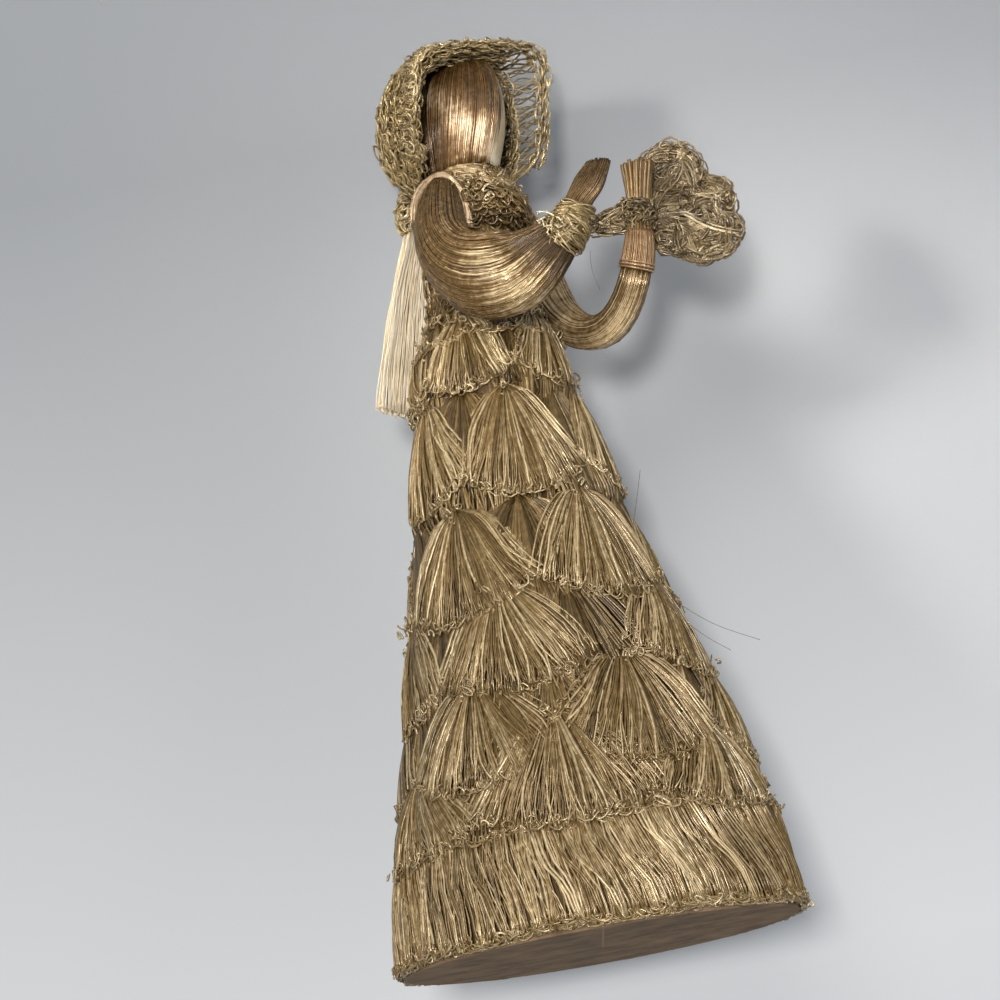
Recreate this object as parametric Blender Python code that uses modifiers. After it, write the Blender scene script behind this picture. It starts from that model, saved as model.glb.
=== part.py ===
"""Fibre doll figurine: a faceless lady of combed and crocheted plant fibre on a round card.

The doll stands on its card at the origin, faces -Y and has its left hand towards +X.
Its pose and carving are kept as shares of its height: MM is one millimetre of the doll
at the height that it is modelled with. Walls, gaps and the card have sizes of their own.
"""
import math

import bpy
import bmesh
from mathutils import Vector

# Sizes that stand by themselves, in metres
FIGURE_HEIGHT = 0.2664
CARD_DIAMETER = 0.1062
CARD_THICKNESS = 0.0016
HEM_WALL = 0.0011
CARD_CLEARANCE = 0.0003
TOUCH_GAP = 0.0003
HEM_LIFT = 0.0003
BONNET_WALL = 0.0022
VEIL_THICKNESS = 0.0024
RIGHT_CUFF_WALL = 0.0023
LEFT_CUFF_WALL = 0.0010
HANDKERCHIEF_THICKNESS = 0.0030

# One millimetre of the doll, and the levels where its pieces meet
MM = FIGURE_HEIGHT / 266.4
WAIST_LEVEL = 172.0 * MM
WAIST_RADIUS = 20.3 * MM
HEM_TOP_LEVEL = 27.0 * MM
HEM_DRAW_IN = 0.09
WAIST_LEAN = 3.0 * MM
BODICE_TOP_LEVEL = 206.0 * MM
COLLAR_TOP_LEVEL = 226.0 * MM
HEM_RADIUS = CARD_DIAMETER / 2 + CARD_CLEARANCE + HEM_WALL

# Rows of crocheted shells: level of the points, length, how many, turn of the first, half width
SHELL_ROWS = [
    (180.0, 24.0, 5, 204.0, 36.0),
    (155.0, 33.0, 5, 233.0, 38.0),
    (120.0, 32.0, 5, 183.0, 38.0),
    (94.0, 30.0, 6, 203.0, 33.0),
    (67.5, 29.0, 6, 186.0, 33.0),
    (49.5, 24.0, 6, 216.0, 32.0),
]
SHELL_RECESS = -1.4 * MM
SHELL_RISE = 3.7 * MM
SHELL_SCALLOP = 4.5 * MM

# Number of facets
DRESS_COLUMNS = 66
DRESS_STEPS = (4, 4)
SHELL_FOOT_STEP = 1.3 * MM
ARM_SIDES = 12
ARM_STATIONS = 26

COLOURS = {
    "fibre": (0.32, 0.22, 0.09, 1.0),
    "combed": (0.42, 0.30, 0.13, 1.0),
    "pale": (0.58, 0.46, 0.27, 1.0),
    "card": (0.095, 0.070, 0.050, 1.0),
}


def clear_scene():
    for thing in list(bpy.data.objects):
        bpy.data.objects.remove(thing, do_unlink=True)


def new_collection(name):
    collection = bpy.data.collections.new(name)
    bpy.context.scene.collection.children.link(collection)
    return collection


def material(name, colour, roughness):
    made = bpy.data.materials.new(name)
    made.use_nodes = True
    shader = made.node_tree.nodes["Principled BSDF"]
    shader.inputs["Base Color"].default_value = COLOURS[colour]
    shader.inputs["Roughness"].default_value = roughness
    shader.inputs["Metallic"].default_value = 0.0
    return made


def add_object(name, mesh_tool, collection, look=None):
    """Put a bmesh into the scene as one object with one material."""
    bmesh.ops.recalc_face_normals(mesh_tool, faces=mesh_tool.faces)
    mesh = bpy.data.meshes.new(name)
    mesh_tool.to_mesh(mesh)
    mesh_tool.free()
    thing = bpy.data.objects.new(name, mesh)
    collection.objects.link(thing)
    if look is not None:
        mesh.materials.append(look)
        mesh.shade_smooth()
    return thing


def loft(rings):
    """A closed body through rings of points, with a flat fan of faces at each end."""
    tool = bmesh.new()
    rows = [[tool.verts.new(point) for point in ring] for ring in rings]
    sides = len(rows[0])
    for lower, upper in zip(rows, rows[1:]):
        for side in range(sides):
            after = (side + 1) % sides
            tool.faces.new((lower[side], lower[after], upper[after], upper[side]))
    for ring in (rows[0], rows[-1]):
        centre = tool.verts.new(sum((vert.co for vert in ring), Vector()) / sides)
        for side in range(sides):
            tool.faces.new((ring[side], ring[(side + 1) % sides], centre))
    return tool


def ellipse_ring(centre, across, along, sides):
    """A ring of points round a centre, from two half-axis vectors."""
    turns = [2 * math.pi * side / sides for side in range(sides)]
    return [centre + across * math.cos(turn) + along * math.sin(turn) for turn in turns]


def level_ring(level, centre_y, half_x, half_y, sides, grow):
    """An upright body's ring at one level, in doll millimetres, grown by a clearance."""
    centre = Vector((0.0, centre_y * MM, level * MM))
    across = Vector((half_x * MM + grow, 0.0, 0.0))
    along = Vector((0.0, half_y * MM + grow, 0.0))
    return ellipse_ring(centre, across, along, sides)


def between(values, place):
    """A smooth value through evenly spaced values, place running from 0 to 1."""
    spans = len(values) - 1
    span = min(int(place * spans), spans - 1)
    share = place * spans - span
    before, start = values[max(span - 1, 0)], values[span]
    end, after = values[span + 1], values[min(span + 2, spans)]
    square, cube = share * share, share * share * share
    return (start * (2 * cube - 3 * square + 1) + end * (3 * square - 2 * cube)
            + (end - before) * 0.5 * (cube - 2 * square + share)
            + (after - start) * 0.5 * (cube - square))


def subtract(target, cutters):
    """Cut grown copies of its neighbours out of a piece."""
    for cutter in cutters:
        cut = target.modifiers.new("clear " + cutter.name, "BOOLEAN")
        cut.operation = "DIFFERENCE"
        cut.solver = "EXACT"
        cut.object = cutter


def unite(target, helper):
    join = target.modifiers.new("join " + helper.name, "BOOLEAN")
    join.operation = "UNION"
    join.solver = "EXACT"
    join.object = helper


def hide_cutter(cutter):
    cutter.hide_render = True
    cutter.display_type = "WIRE"
    return cutter


# Dress: a cone of crocheted shells over a flared hem, with the bodice above the waist
def dress_radius(level):
    """Radius of the dress under its shells at a level above the card's underside."""
    if level > WAIST_LEVEL:
        share = (level - WAIST_LEVEL) / (BODICE_TOP_LEVEL - WAIST_LEVEL)
        return between([WAIST_RADIUS, 17.0 * MM, 15.2 * MM, 14.6 * MM, 14.2 * MM], share)
    top_of_hem = HEM_RADIUS - HEM_DRAW_IN * (HEM_RADIUS - WAIST_RADIUS)
    if level > HEM_TOP_LEVEL:
        share = (level - HEM_TOP_LEVEL) / (WAIST_LEVEL - HEM_TOP_LEVEL)
        return top_of_hem + (WAIST_RADIUS - top_of_hem) * share
    share = level / HEM_TOP_LEVEL
    return HEM_RADIUS + (top_of_hem - HEM_RADIUS) * share * share


def shell_offset(turn, row):
    """Degrees from the middle of the nearest shell of a row."""
    step = 360.0 / row[2]
    return (turn - row[3] + step / 2) % step - step / 2


def shell_foot(turn, row):
    """Level of a row's scalloped foot, lowest in the middle of each shell."""
    across = shell_offset(turn, row) * row[2] / 180.0
    return (row[0] - row[1]) * MM + SHELL_SCALLOP * across * across


def shell_height(turn, level):
    """How far the shells stand out at a turn in degrees and a level, in metres."""
    height = SHELL_RECESS
    for row in SHELL_ROWS:
        down = (row[0] * MM - level) / (row[1] * MM)
        if down < 0.0 or level < shell_foot(turn, row) - SHELL_FOOT_STEP / 2:
            continue
        aside = shell_offset(turn, row) / (row[4] * (0.16 + 0.84 * down ** 0.8))
        if abs(aside) < 1.0:
            rise = SHELL_RISE * down ** 0.7 * (1.0 - aside * aside) ** 0.7
            height = max(height, SHELL_RECESS + rise)
    return height


def dress_surface(turn, level, grow):
    """The dress's radius with its shells, which die out at the hem and under the collar."""
    fade_low = min(max((level - HEM_TOP_LEVEL * 0.8) / (6.0 * MM), 0.0), 1.0)
    fade_high = min(max((BODICE_TOP_LEVEL - level) / (20.0 * MM), 0.0), 1.0)
    return dress_radius(level) + shell_height(turn, level) * fade_low * fade_high + grow


def dress_lean(level):
    """How far the dress's middle stands behind the card's middle, most of it below the waist."""
    share = min(max(level / BODICE_TOP_LEVEL, 0.0), 1.0)
    return between([0.0, -0.3 * WAIST_LEAN, 0.55 * WAIST_LEAN, WAIST_LEAN, 0.2 * WAIST_LEAN], share)


def dress_levels(turn, low, high):
    """Levels of the dress's points at one turn: a pair at each shell foot, others between."""
    feet = sorted(shell_foot(turn, row) for row in SHELL_ROWS)
    levels = []
    start = low
    for foot in feet + [high]:
        below = foot if foot == high else foot - SHELL_FOOT_STEP
        steps = DRESS_STEPS[len(levels) > 0]
        levels += [start + (below - start) * step / steps for step in range(steps + 1)]
        start = foot
    return levels


def dress_body(grow):
    columns = []
    for column in range(DRESS_COLUMNS):
        turn = 360.0 * column / DRESS_COLUMNS
        way = math.radians(turn)
        points = []
        for level in dress_levels(turn, HEM_LIFT - grow, BODICE_TOP_LEVEL + grow):
            radius = dress_surface(turn, min(max(level, 0.0), BODICE_TOP_LEVEL), grow)
            back = dress_lean(level) + radius * math.sin(way)
            points.append(Vector((radius * math.cos(way), back, level)))
        columns.append(points)
    return loft(list(zip(*columns)))


def cylinder(name, radius, low, high, sides, collection, look=None):
    tool = bmesh.new()
    bmesh.ops.create_cone(tool, cap_ends=True, segments=sides, radius1=radius,
                          radius2=radius, depth=high - low)
    bmesh.ops.translate(tool, verts=tool.verts, vec=(0.0, 0.0, (low + high) / 2))
    return add_object(name, tool, collection, look)


def make_card_and_dress(pieces, cutters):
    radius = CARD_DIAMETER / 2
    card_look = material("card", "card", 0.9)
    cylinder("base_card", radius, 0.0, CARD_THICKNESS, DRESS_COLUMNS, pieces, card_look)
    dress = add_object("dress", dress_body(0.0), pieces, material("crochet", "fibre", 0.6))
    seat = cylinder("card_seat", radius + CARD_CLEARANCE, -0.01,
                    CARD_THICKNESS + TOUCH_GAP, DRESS_COLUMNS, cutters)
    subtract(dress, [hide_cutter(seat)])


# Collar and head: upright lofts of level, centre, half width across and half width along
COLLAR_LEVELS = [
    (210.0, -1.5, 16.4, 15.6),
    (214.5, -2.4, 15.4, 14.6),
    (219.0, -2.6, 12.2, 12.4),
    (223.0, -2.0, 10.0, 10.6),
]
HEAD_LEVELS = [
    (231.0, 0.8, 10.6, 12.4),
    (237.0, -0.2, 11.8, 14.6),
    (243.0, -0.6, 12.4, 16.0),
    (249.0, -0.8, 12.3, 16.2),
    (254.5, -1.2, 11.2, 15.0),
    (258.0, -1.6, 9.2, 13.0),
    (260.8, -1.8, 6.2, 9.0),
    (262.2, -1.8, 2.2, 3.4),
]
UPRIGHT_SIDES = 20


def head_ring(level, centre, half_across, half_along):
    """A ring of the head: centre and half_along are measured along the way it faces."""
    turns = [2 * math.pi * side / UPRIGHT_SIDES for side in range(UPRIGHT_SIDES)]
    return [turned((half_across * math.cos(turn), centre + half_along * math.sin(turn), level))
            for turn in turns]


def collar_body(grow):
    foot = BODICE_TOP_LEVEL / MM + (TOUCH_GAP - grow) / MM
    top = (COLLAR_TOP_LEVEL + grow) / MM
    levels = [(foot, -0.4, 14.6, 14.4)] + COLLAR_LEVELS + [(top, -1.2, 8.8, 9.6)]
    return loft([level_ring(*level, UPRIGHT_SIDES, grow) for level in levels])


def make_collar_and_head(pieces):
    look = material("collar crochet", "fibre", 0.6)
    add_object("collar", collar_body(0.0), pieces, look)
    foot = (COLLAR_TOP_LEVEL + TOUCH_GAP) / MM
    tool = loft([head_ring(*level) for level in [(foot, 1.5, 9.4, 10.6)] + HEAD_LEVELS])
    add_object("head", tool, pieces, material("head hank", "combed", 0.4))


# Bonnet: an open hood round the head, turned with it and drawn in to a knot at the nape
HEAD_TURN = -10.0
HEAD_AXIS = (0.0, -2.5)
BONNET_STATIONS = [
    # place from back to front, level of the middle, half width, rise above, drop below, half turn
    (24.0, 244.5, 5.0, 6.0, 6.0, 177.0),
    (21.0, 244.5, 12.6, 12.5, 14.0, 175.0),
    (14.5, 244.0, 18.2, 18.5, 20.0, 166.0),
    (6.0, 244.0, 20.8, 21.8, 25.0, 148.0),
    (-3.0, 244.0, 21.8, 22.0, 26.0, 138.0),
    (-10.5, 244.0, 22.8, 21.0, 25.0, 133.0),
    (-17.0, 244.0, 24.0, 20.0, 23.5, 130.0),
]
BONNET_COLUMNS = 20
BONNET_STEPS = 8
RIM_LEAN = 4.0
KNOT_CENTRE = (0.0, 21.0, 223.0)
KNOT_HALF_SIZES = (5.6, 4.6, 8.0)
RIM_FLARE = 3.5
RIM_TILT = 3.0


def turned(point):
    """A point of the head or the bonnet, turned about the neck, in metres."""
    way = math.radians(HEAD_TURN)
    x, y, z = point
    east = HEAD_AXIS[0] + x * math.cos(way) - y * math.sin(way)
    north = HEAD_AXIS[1] + x * math.sin(way) + y * math.cos(way)
    return Vector((east, north, z)) * MM


def bonnet_point(place, side):
    """A point of the hood: place runs from the back to the rim, side from -1 to 1."""
    back, middle, half_width, rise, drop, half_turn = [
        between([station[value] for station in BONNET_STATIONS], place) for value in range(6)
    ]
    turn = math.radians(half_turn * side)
    upper = math.cos(turn) > 0.0
    power = 2.0 + 1.8 * place ** 2 if upper else 1.8
    reach = (abs(math.sin(turn)) ** power + abs(math.cos(turn)) ** power) ** (-1.0 / power)
    across = math.sin(turn) * reach
    upward = math.cos(turn) * reach
    lean = RIM_LEAN * place * (1.0 - upward)
    flare = RIM_FLARE * place * max(across, 0.0) * max(upward, 0.0)
    level = middle + (rise if upper else drop) * upward
    level += RIM_TILT * place * across * max(upward, 0.0)
    return turned((half_width * across + flare, back + lean, level))


def make_bonnet(pieces, cutters):
    tool = bmesh.new()
    rows = []
    for step in range(BONNET_STEPS + 1):
        row = []
        for column in range(BONNET_COLUMNS + 1):
            side = 2 * column / BONNET_COLUMNS - 1
            row.append(tool.verts.new(bonnet_point(step / BONNET_STEPS, side)))
        rows.append(row)
    for behind, ahead in zip(rows, rows[1:]):
        for column in range(BONNET_COLUMNS):
            tool.faces.new((behind[column], ahead[column], ahead[column + 1], behind[column + 1]))
    tool.faces.new(rows[0])
    bonnet = add_object("bonnet", tool, pieces, material("bonnet crochet", "fibre", 0.6))
    wall = bonnet.modifiers.new("wall", "SOLIDIFY")
    wall.thickness = BONNET_WALL
    wall.offset = -1.0
    wall.use_even_offset = True
    tool = bmesh.new()
    bmesh.ops.create_uvsphere(tool, u_segments=12, v_segments=8, radius=1.0)
    bmesh.ops.scale(tool, verts=tool.verts, vec=Vector(KNOT_HALF_SIZES) * MM)
    bmesh.ops.translate(tool, verts=tool.verts, vec=Vector(KNOT_CENTRE) * MM)
    unite(bonnet, hide_cutter(add_object("nape_knot", tool, cutters)))


# Veil: a flat hank that hangs from the knot and stands off the back of the dress
KNOT_FOOT = KNOT_CENTRE[2] - KNOT_HALF_SIZES[2] - TOUCH_GAP / MM
VEIL_TOP = (19.0, KNOT_FOOT, 8.5)
VEIL_FOOT = (34.0, 163.5, 16.5)
VEIL_STATIONS = 6
VEIL_SIDES = 16


def make_veil(pieces):
    rings = []
    for station in range(VEIL_STATIONS + 1):
        share = station / VEIL_STATIONS
        back, level, half_width = [
            VEIL_TOP[value] + (VEIL_FOOT[value] - VEIL_TOP[value]) * share for value in range(3)
        ]
        bow = math.sin(math.pi * share) * 1.5
        ring = []
        for turn in [2 * math.pi * side / VEIL_SIDES for side in range(VEIL_SIDES)]:
            flat = math.copysign(abs(math.sin(turn)) ** 0.4, math.sin(turn))
            across = half_width * MM * math.cos(turn)
            away = (back + bow) * MM + VEIL_THICKNESS / 2 * flat - 0.0012 * math.cos(turn) ** 2
            ring.append(Vector((across, away, level * MM)))
        rings.append(ring)
    add_object("veil", loft(rings), pieces, material("veil hank", "pale", 0.45))


# Arms: combed hanks, each one piece from the shoulder to the trimmed hand
# Middle of the hank, its half height and its half thickness at each station
RIGHT_ARM = [
    ((-16.5, -5.5, 216.5), 4.8, 5.0),
    ((-20.5, -7.0, 208.0), 6.4, 6.6),
    ((-24.5, -9.5, 197.5), 7.8, 7.6),
    ((-25.5, -14.5, 188.0), 9.8, 8.0),
    ((-24.0, -22.5, 181.5), 12.0, 8.0),
    ((-21.0, -32.0, 179.5), 11.6, 7.6),
    ((-18.0, -40.5, 182.5), 8.4, 6.4),
    ((-15.2, -47.5, 187.1), 4.4, 4.4),
    ((-13.4, -50.6, 193.4), 4.0, 3.2),
    ((-11.4, -54.4, 198.6), 4.8, 2.4),
    ((-9.3, -58.0, 204.2), 3.2, 1.6),
]
LEFT_ARM = [
    ((12.0, -4.5, 217.5), 4.6, 5.0),
    ((15.5, -6.0, 209.5), 6.4, 6.4),
    ((17.4, -6.5, 199.0), 7.4, 6.6),
    ((17.6, -9.5, 187.0), 7.4, 6.4),
    ((17.0, -14.5, 176.5), 6.8, 6.0),
    ((16.6, -22.0, 169.4), 6.0, 5.6),
    ((15.8, -31.0, 167.6), 5.6, 5.2),
    ((14.8, -39.6, 172.6), 5.0, 4.8),
    ((14.2, -46.6, 184.0), 3.9, 4.0),
    ((14.8, -49.6, 197.0), 2.7, 2.9),
    ((15.2, -52.0, 211.5), 4.6, 3.4),
]


RIGHT_CUFF_SPAN = (0.655, 0.775)
LEFT_CUFF_SPAN = (0.745, 0.835)


def arm_station(stations, place):
    middle = between([Vector(station[0]) for station in stations], place) * MM
    height = between([station[1] for station in stations], place) * MM
    thickness = between([station[2] for station in stations], place) * MM
    return middle, height, thickness


def arm_ring(stations, place, grow):
    """One section across the hank, square to its path."""
    middle, height, thickness = arm_station(stations, place)
    ahead = arm_station(stations, min(place + 0.01, 1.0))[0]
    behind = arm_station(stations, max(place - 0.01, 0.0))[0]
    along = (ahead - behind).normalized()
    outward = Vector((-1.0 if middle.x < 0.0 else 1.0, 0.0, 0.0))
    upward = along.cross(outward).normalized()
    outward = upward.cross(along).normalized()
    return ellipse_ring(middle, upward * (height + grow), outward * (thickness + grow), ARM_SIDES)


def arm_body(stations, start, finish, count, grow, lip=0.0):
    """A stretch of the hank, or with a lip the outer form of what is wrapped round it."""
    places = [start + (finish - start) * step / count for step in range(count + 1)]
    rings = [arm_ring(stations, place, grow) for place in places]
    if lip > 0.0:
        rings[0] = arm_ring(stations, start, lip)
        rings[-1] = arm_ring(stations, finish, lip)
    return loft(rings)


def make_arm(side, stations, cuff_span, cuff_wall, pieces, cutters):
    """One arm and the crocheted or wrapped cuff that ties it at the wrist."""
    arm = add_object(side + "_arm", arm_body(stations, 0.0, 1.0, ARM_STATIONS, 0.0), pieces,
                     material(side + " arm hank", "combed", 0.4))
    cuff_form = arm_body(stations, cuff_span[0], cuff_span[1], 4, cuff_wall, cuff_wall * 0.7)
    cuff = add_object(side + "_cuff", cuff_form, pieces, material(side + " cuff", "fibre", 0.6))
    arm_core = arm_body(stations, cuff_span[0] - 0.08, cuff_span[1] + 0.08, 8, TOUCH_GAP)
    subtract(cuff, [hide_cutter(add_object(side + "_arm_clearance", arm_core, cutters))])
    return arm


def make_arms(pieces, cutters):
    dress_room = hide_cutter(add_object("dress_clearance", dress_body(TOUCH_GAP), cutters))
    collar_room = hide_cutter(add_object("collar_clearance", collar_body(TOUCH_GAP), cutters))
    right = make_arm("right", RIGHT_ARM, RIGHT_CUFF_SPAN, RIGHT_CUFF_WALL, pieces, cutters)
    left = make_arm("left", LEFT_ARM, LEFT_CUFF_SPAN, LEFT_CUFF_WALL, pieces, cutters)
    for arm in (right, left):
        subtract(arm, [dress_room, collar_room])


# Handkerchief: a ruffled round of crochet tied to the left hand, with a tail past the wrist
HANDKERCHIEF_CENTRE = Vector((27.2, -58.5, 197.5))
HANDKERCHIEF_SIDE = Vector((0.643, -0.766, 0.0))
HANDKERCHIEF_WIDTH = 13.8
HANDKERCHIEF_HEIGHT = 15.8
HANDKERCHIEF_SIDES = 30
HANDKERCHIEF_RINGS = 3
NOTCH_TURN = math.radians(44.0)
NOTCH_HALF_TURN = math.radians(22.0)
NOTCH_DEPTH = 0.34
TAIL_LENGTH = 17.0
RUFFLE_DEPTH = 1.6
TIE_SPAN = (0.885, 0.935)
TIE_WALL = 1.8 * MM


def handkerchief_point(turn, share):
    """A point of the ruffled sheet: share runs from its middle to its lobed edge."""
    from_notch = (turn - NOTCH_TURN) / NOTCH_HALF_TURN
    lobes = 1.04 + 0.05 * math.cos(5 * turn) - NOTCH_DEPTH * math.exp(-from_notch * from_notch)
    tail = TAIL_LENGTH * max(-math.cos(turn), 0.0) ** 40
    side = (HANDKERCHIEF_WIDTH * lobes + tail) * math.cos(turn) * share
    rise = HANDKERCHIEF_HEIGHT * lobes * math.sin(turn) * share
    ruffle = RUFFLE_DEPTH * share ** 2 * math.sin(5 * turn + 0.8)
    facing = HANDKERCHIEF_SIDE.cross(Vector((0.0, 0.0, 1.0)))
    upright = Vector((0.0, 0.0, rise))
    return (HANDKERCHIEF_CENTRE + HANDKERCHIEF_SIDE * side + upright + facing * ruffle) * MM


def handkerchief_sheet():
    tool = bmesh.new()
    middle = tool.verts.new(HANDKERCHIEF_CENTRE * MM)
    turns = [2 * math.pi * side / HANDKERCHIEF_SIDES for side in range(HANDKERCHIEF_SIDES)]
    shares = [ring / HANDKERCHIEF_RINGS for ring in range(1, HANDKERCHIEF_RINGS + 1)]
    rows = [[tool.verts.new(handkerchief_point(turn, share)) for turn in turns] for share in shares]
    for side in range(HANDKERCHIEF_SIDES):
        after = (side + 1) % HANDKERCHIEF_SIDES
        tool.faces.new((middle, rows[0][side], rows[0][after]))
        for inner, outer in zip(rows, rows[1:]):
            tool.faces.new((inner[side], outer[side], outer[after], inner[after]))
    return tool


def make_handkerchief(pieces, cutters):
    look = material("handkerchief crochet", "fibre", 0.6)
    sheet = add_object("handkerchief", handkerchief_sheet(), pieces, look)
    body = sheet.modifiers.new("body", "SOLIDIFY")
    body.thickness = HANDKERCHIEF_THICKNESS
    body.offset = 0.0
    tie = arm_body(LEFT_ARM, TIE_SPAN[0], TIE_SPAN[1], 3, TIE_WALL)
    unite(sheet, hide_cutter(add_object("hand_tie", tie, cutters)))
    hand = arm_body(LEFT_ARM, LEFT_CUFF_SPAN[1] - 0.03, 1.0, 6, TOUCH_GAP)
    cuff = arm_body(LEFT_ARM, LEFT_CUFF_SPAN[0] - 0.01, LEFT_CUFF_SPAN[1] + 0.01, 6,
                    LEFT_CUFF_WALL + TOUCH_GAP)
    rooms = [("left_hand_clearance", hand), ("left_cuff_clearance", cuff)]
    subtract(sheet, [hide_cutter(add_object(name, tool, cutters)) for name, tool in rooms])


def build():
    clear_scene()
    pieces = new_collection("fibre_doll_figurine")
    cutters = new_collection("cutters")
    make_card_and_dress(pieces, cutters)
    make_collar_and_head(pieces)
    make_bonnet(pieces, cutters)
    make_veil(pieces)
    make_arms(pieces, cutters)
    make_handkerchief(pieces, cutters)


build()
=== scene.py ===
# %% [markdown]
# A standing lady made of plant fibre. Her dress is crocheted in rows of fan-shaped shells, her
# head and arms are combed hanks, and she stands on a round card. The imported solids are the
# fixed frame. This script lays the real strands over their forms, piece by piece, because
# fibre gets its look from hundreds of thin round threads that each catch the light.

# %% Load the frame
import math
import random

import bmesh
import bpy
import numpy as np
from mathutils import Matrix, Vector


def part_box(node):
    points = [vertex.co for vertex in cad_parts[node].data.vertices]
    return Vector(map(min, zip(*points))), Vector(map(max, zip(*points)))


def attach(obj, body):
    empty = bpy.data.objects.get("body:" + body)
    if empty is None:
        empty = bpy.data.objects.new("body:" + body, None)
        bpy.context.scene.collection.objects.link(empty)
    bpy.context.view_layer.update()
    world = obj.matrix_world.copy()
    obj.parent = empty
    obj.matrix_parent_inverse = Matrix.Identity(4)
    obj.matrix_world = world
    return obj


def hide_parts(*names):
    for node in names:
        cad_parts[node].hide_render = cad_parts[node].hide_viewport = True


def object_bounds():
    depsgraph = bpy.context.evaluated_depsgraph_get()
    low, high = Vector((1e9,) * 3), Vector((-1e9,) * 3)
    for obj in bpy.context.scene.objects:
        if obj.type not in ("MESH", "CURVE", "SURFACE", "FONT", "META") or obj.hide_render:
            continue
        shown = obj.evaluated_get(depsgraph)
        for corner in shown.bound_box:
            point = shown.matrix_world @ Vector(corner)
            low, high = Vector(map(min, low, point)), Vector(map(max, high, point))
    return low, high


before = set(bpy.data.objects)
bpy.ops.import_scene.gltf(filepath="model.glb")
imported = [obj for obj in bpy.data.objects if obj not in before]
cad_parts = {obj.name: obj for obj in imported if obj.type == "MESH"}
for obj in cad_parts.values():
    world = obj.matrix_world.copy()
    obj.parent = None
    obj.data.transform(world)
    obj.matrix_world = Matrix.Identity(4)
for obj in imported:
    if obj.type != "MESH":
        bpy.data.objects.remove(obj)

cad_low, cad_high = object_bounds()
scene = bpy.context.scene
MM = 0.001
print("frame box in mm:", [round(value / MM, 1) for value in (cad_high - cad_low)])

# %% [markdown]
# The photograph looks down on the doll, so the camera stands a little below her foot, to the
# right of her front, and is rolled by ten degrees. Its place and axes were solved once from the
# ellipse of the card, and are kept as plain values. Standard colours keep the straw tones.

# %% Camera
CAMERA_PLACE = Vector((-0.44778624, -0.37573727, -0.05114092))
CAMERA_RIGHT = Vector((0.67935, -0.71378, -0.17031)).normalized()
CAMERA_BACK = Vector((-0.72668, -0.62208, -0.29147)).normalized()
CAMERA_UP = CAMERA_BACK.cross(CAMERA_RIGHT).normalized()
FIELD_OF_VIEW = math.radians(26.0)

camera = bpy.data.objects.new("camera", bpy.data.cameras.new("camera"))
camera.data.angle = FIELD_OF_VIEW
camera.data.clip_start = 0.01
axes = Matrix((CAMERA_RIGHT, CAMERA_UP, CAMERA_BACK)).transposed()
camera.matrix_world = Matrix.Translation(CAMERA_PLACE) @ axes.to_4x4()
scene.collection.objects.link(camera)
scene.camera = camera
scene.view_settings.view_transform = "Standard"
print("camera at", [round(value, 3) for value in CAMERA_PLACE])

# %% [markdown]
# Two helpers serve every material. One turns a hex colour, as read in a paint program, into the
# linear values that a shader needs. The other adds a node with its settings and its links, so
# that a material reads as a short list of what it is made from.

# %% Colour and node helpers
def linear(code):
    """An sRGB hex colour as linear red, green, blue and alpha."""
    parts = [int(code[place:place + 2], 16) / 255 for place in (0, 2, 4)]
    bright = [part / 12.92 if part <= 0.04045 else ((part + 0.055) / 1.055) ** 2.4 for part in parts]
    return (*bright, 1.0)


def add_node(tree, kind, fields=None, inputs=None):
    """Add a node, set its fields, and give its inputs values or links."""
    made = tree.nodes.new(kind)
    for name, value in (fields or {}).items():
        setattr(made, name, value)
    for name, value in (inputs or {}).items():
        if isinstance(value, bpy.types.NodeSocket):
            tree.links.new(value, made.inputs[name])
        else:
            made.inputs[name].default_value = value
    return made


def new_material(name):
    """A material with an empty tree and its output node."""
    made = bpy.data.materials.new(name)
    made.use_nodes = True
    made.node_tree.nodes.clear()
    return made, made.node_tree, add_node(made.node_tree, "ShaderNodeOutputMaterial")


print("colour check, mid grey is", round(linear("808080")[0], 3))

# %% [markdown]
# The floor and the pale table behind her are the stage. The camera looks through the floor
# from below, so both are one-sided: their back faces are transparent. They only catch light and
# shadow for the camera and never throw light on the doll, so she looks the same from all sides.

# %% Stage
STAGE_HALF_SIZE = 1.5
# Faint humps across the width of the table
TABLE_HUMPS = 3.0
FLOOR_LEVEL = -0.0004
TABLE_BEHIND = 0.085
DOLL_MIDDLE = (cad_low + cad_high) / 2


def one_sided(name, foot, head):
    """A matt paint that is seen from its front alone, from one hex colour at the doll's foot to another
    at her head. The change from pale to darker is painted light, falling off across the stage."""
    made, tree, output = new_material(name)
    place = add_node(tree, "ShaderNodeTexCoord")
    axes = add_node(tree, "ShaderNodeSeparateXYZ", None, {"Vector": place.outputs["Object"]})
    height = add_node(tree, "ShaderNodeMapRange", None, {
        "Value": axes.outputs["Z"], "From Min": cad_low.z, "From Max": cad_high.z})
    ramp = add_node(tree, "ShaderNodeValToRGB", None, {"Fac": height.outputs["Result"]})
    ramp.color_ramp.elements[0].color = linear(foot)
    ramp.color_ramp.elements[1].color = linear(head)
    grain = add_node(tree, "ShaderNodeTexNoise", None, {"Scale": TABLE_HUMPS, "Detail": 2.0})
    paint = add_node(tree, "ShaderNodeBsdfPrincipled", None,
                     {"Base Color": ramp.outputs["Color"], "Roughness": 0.8, "Specular IOR Level": 0.1})
    bump = add_node(tree, "ShaderNodeBump", None, {"Height": grain.outputs["Fac"], "Strength": 0.02})
    tree.links.new(bump.outputs["Normal"], paint.inputs["Normal"])
    clear = add_node(tree, "ShaderNodeBsdfTransparent")
    side = add_node(tree, "ShaderNodeNewGeometry")
    mix = add_node(tree, "ShaderNodeMixShader", None, {
        0: side.outputs["Backfacing"], 1: paint.outputs[0], 2: clear.outputs[0]})
    tree.links.new(mix.outputs[0], output.inputs["Surface"])
    return made


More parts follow.
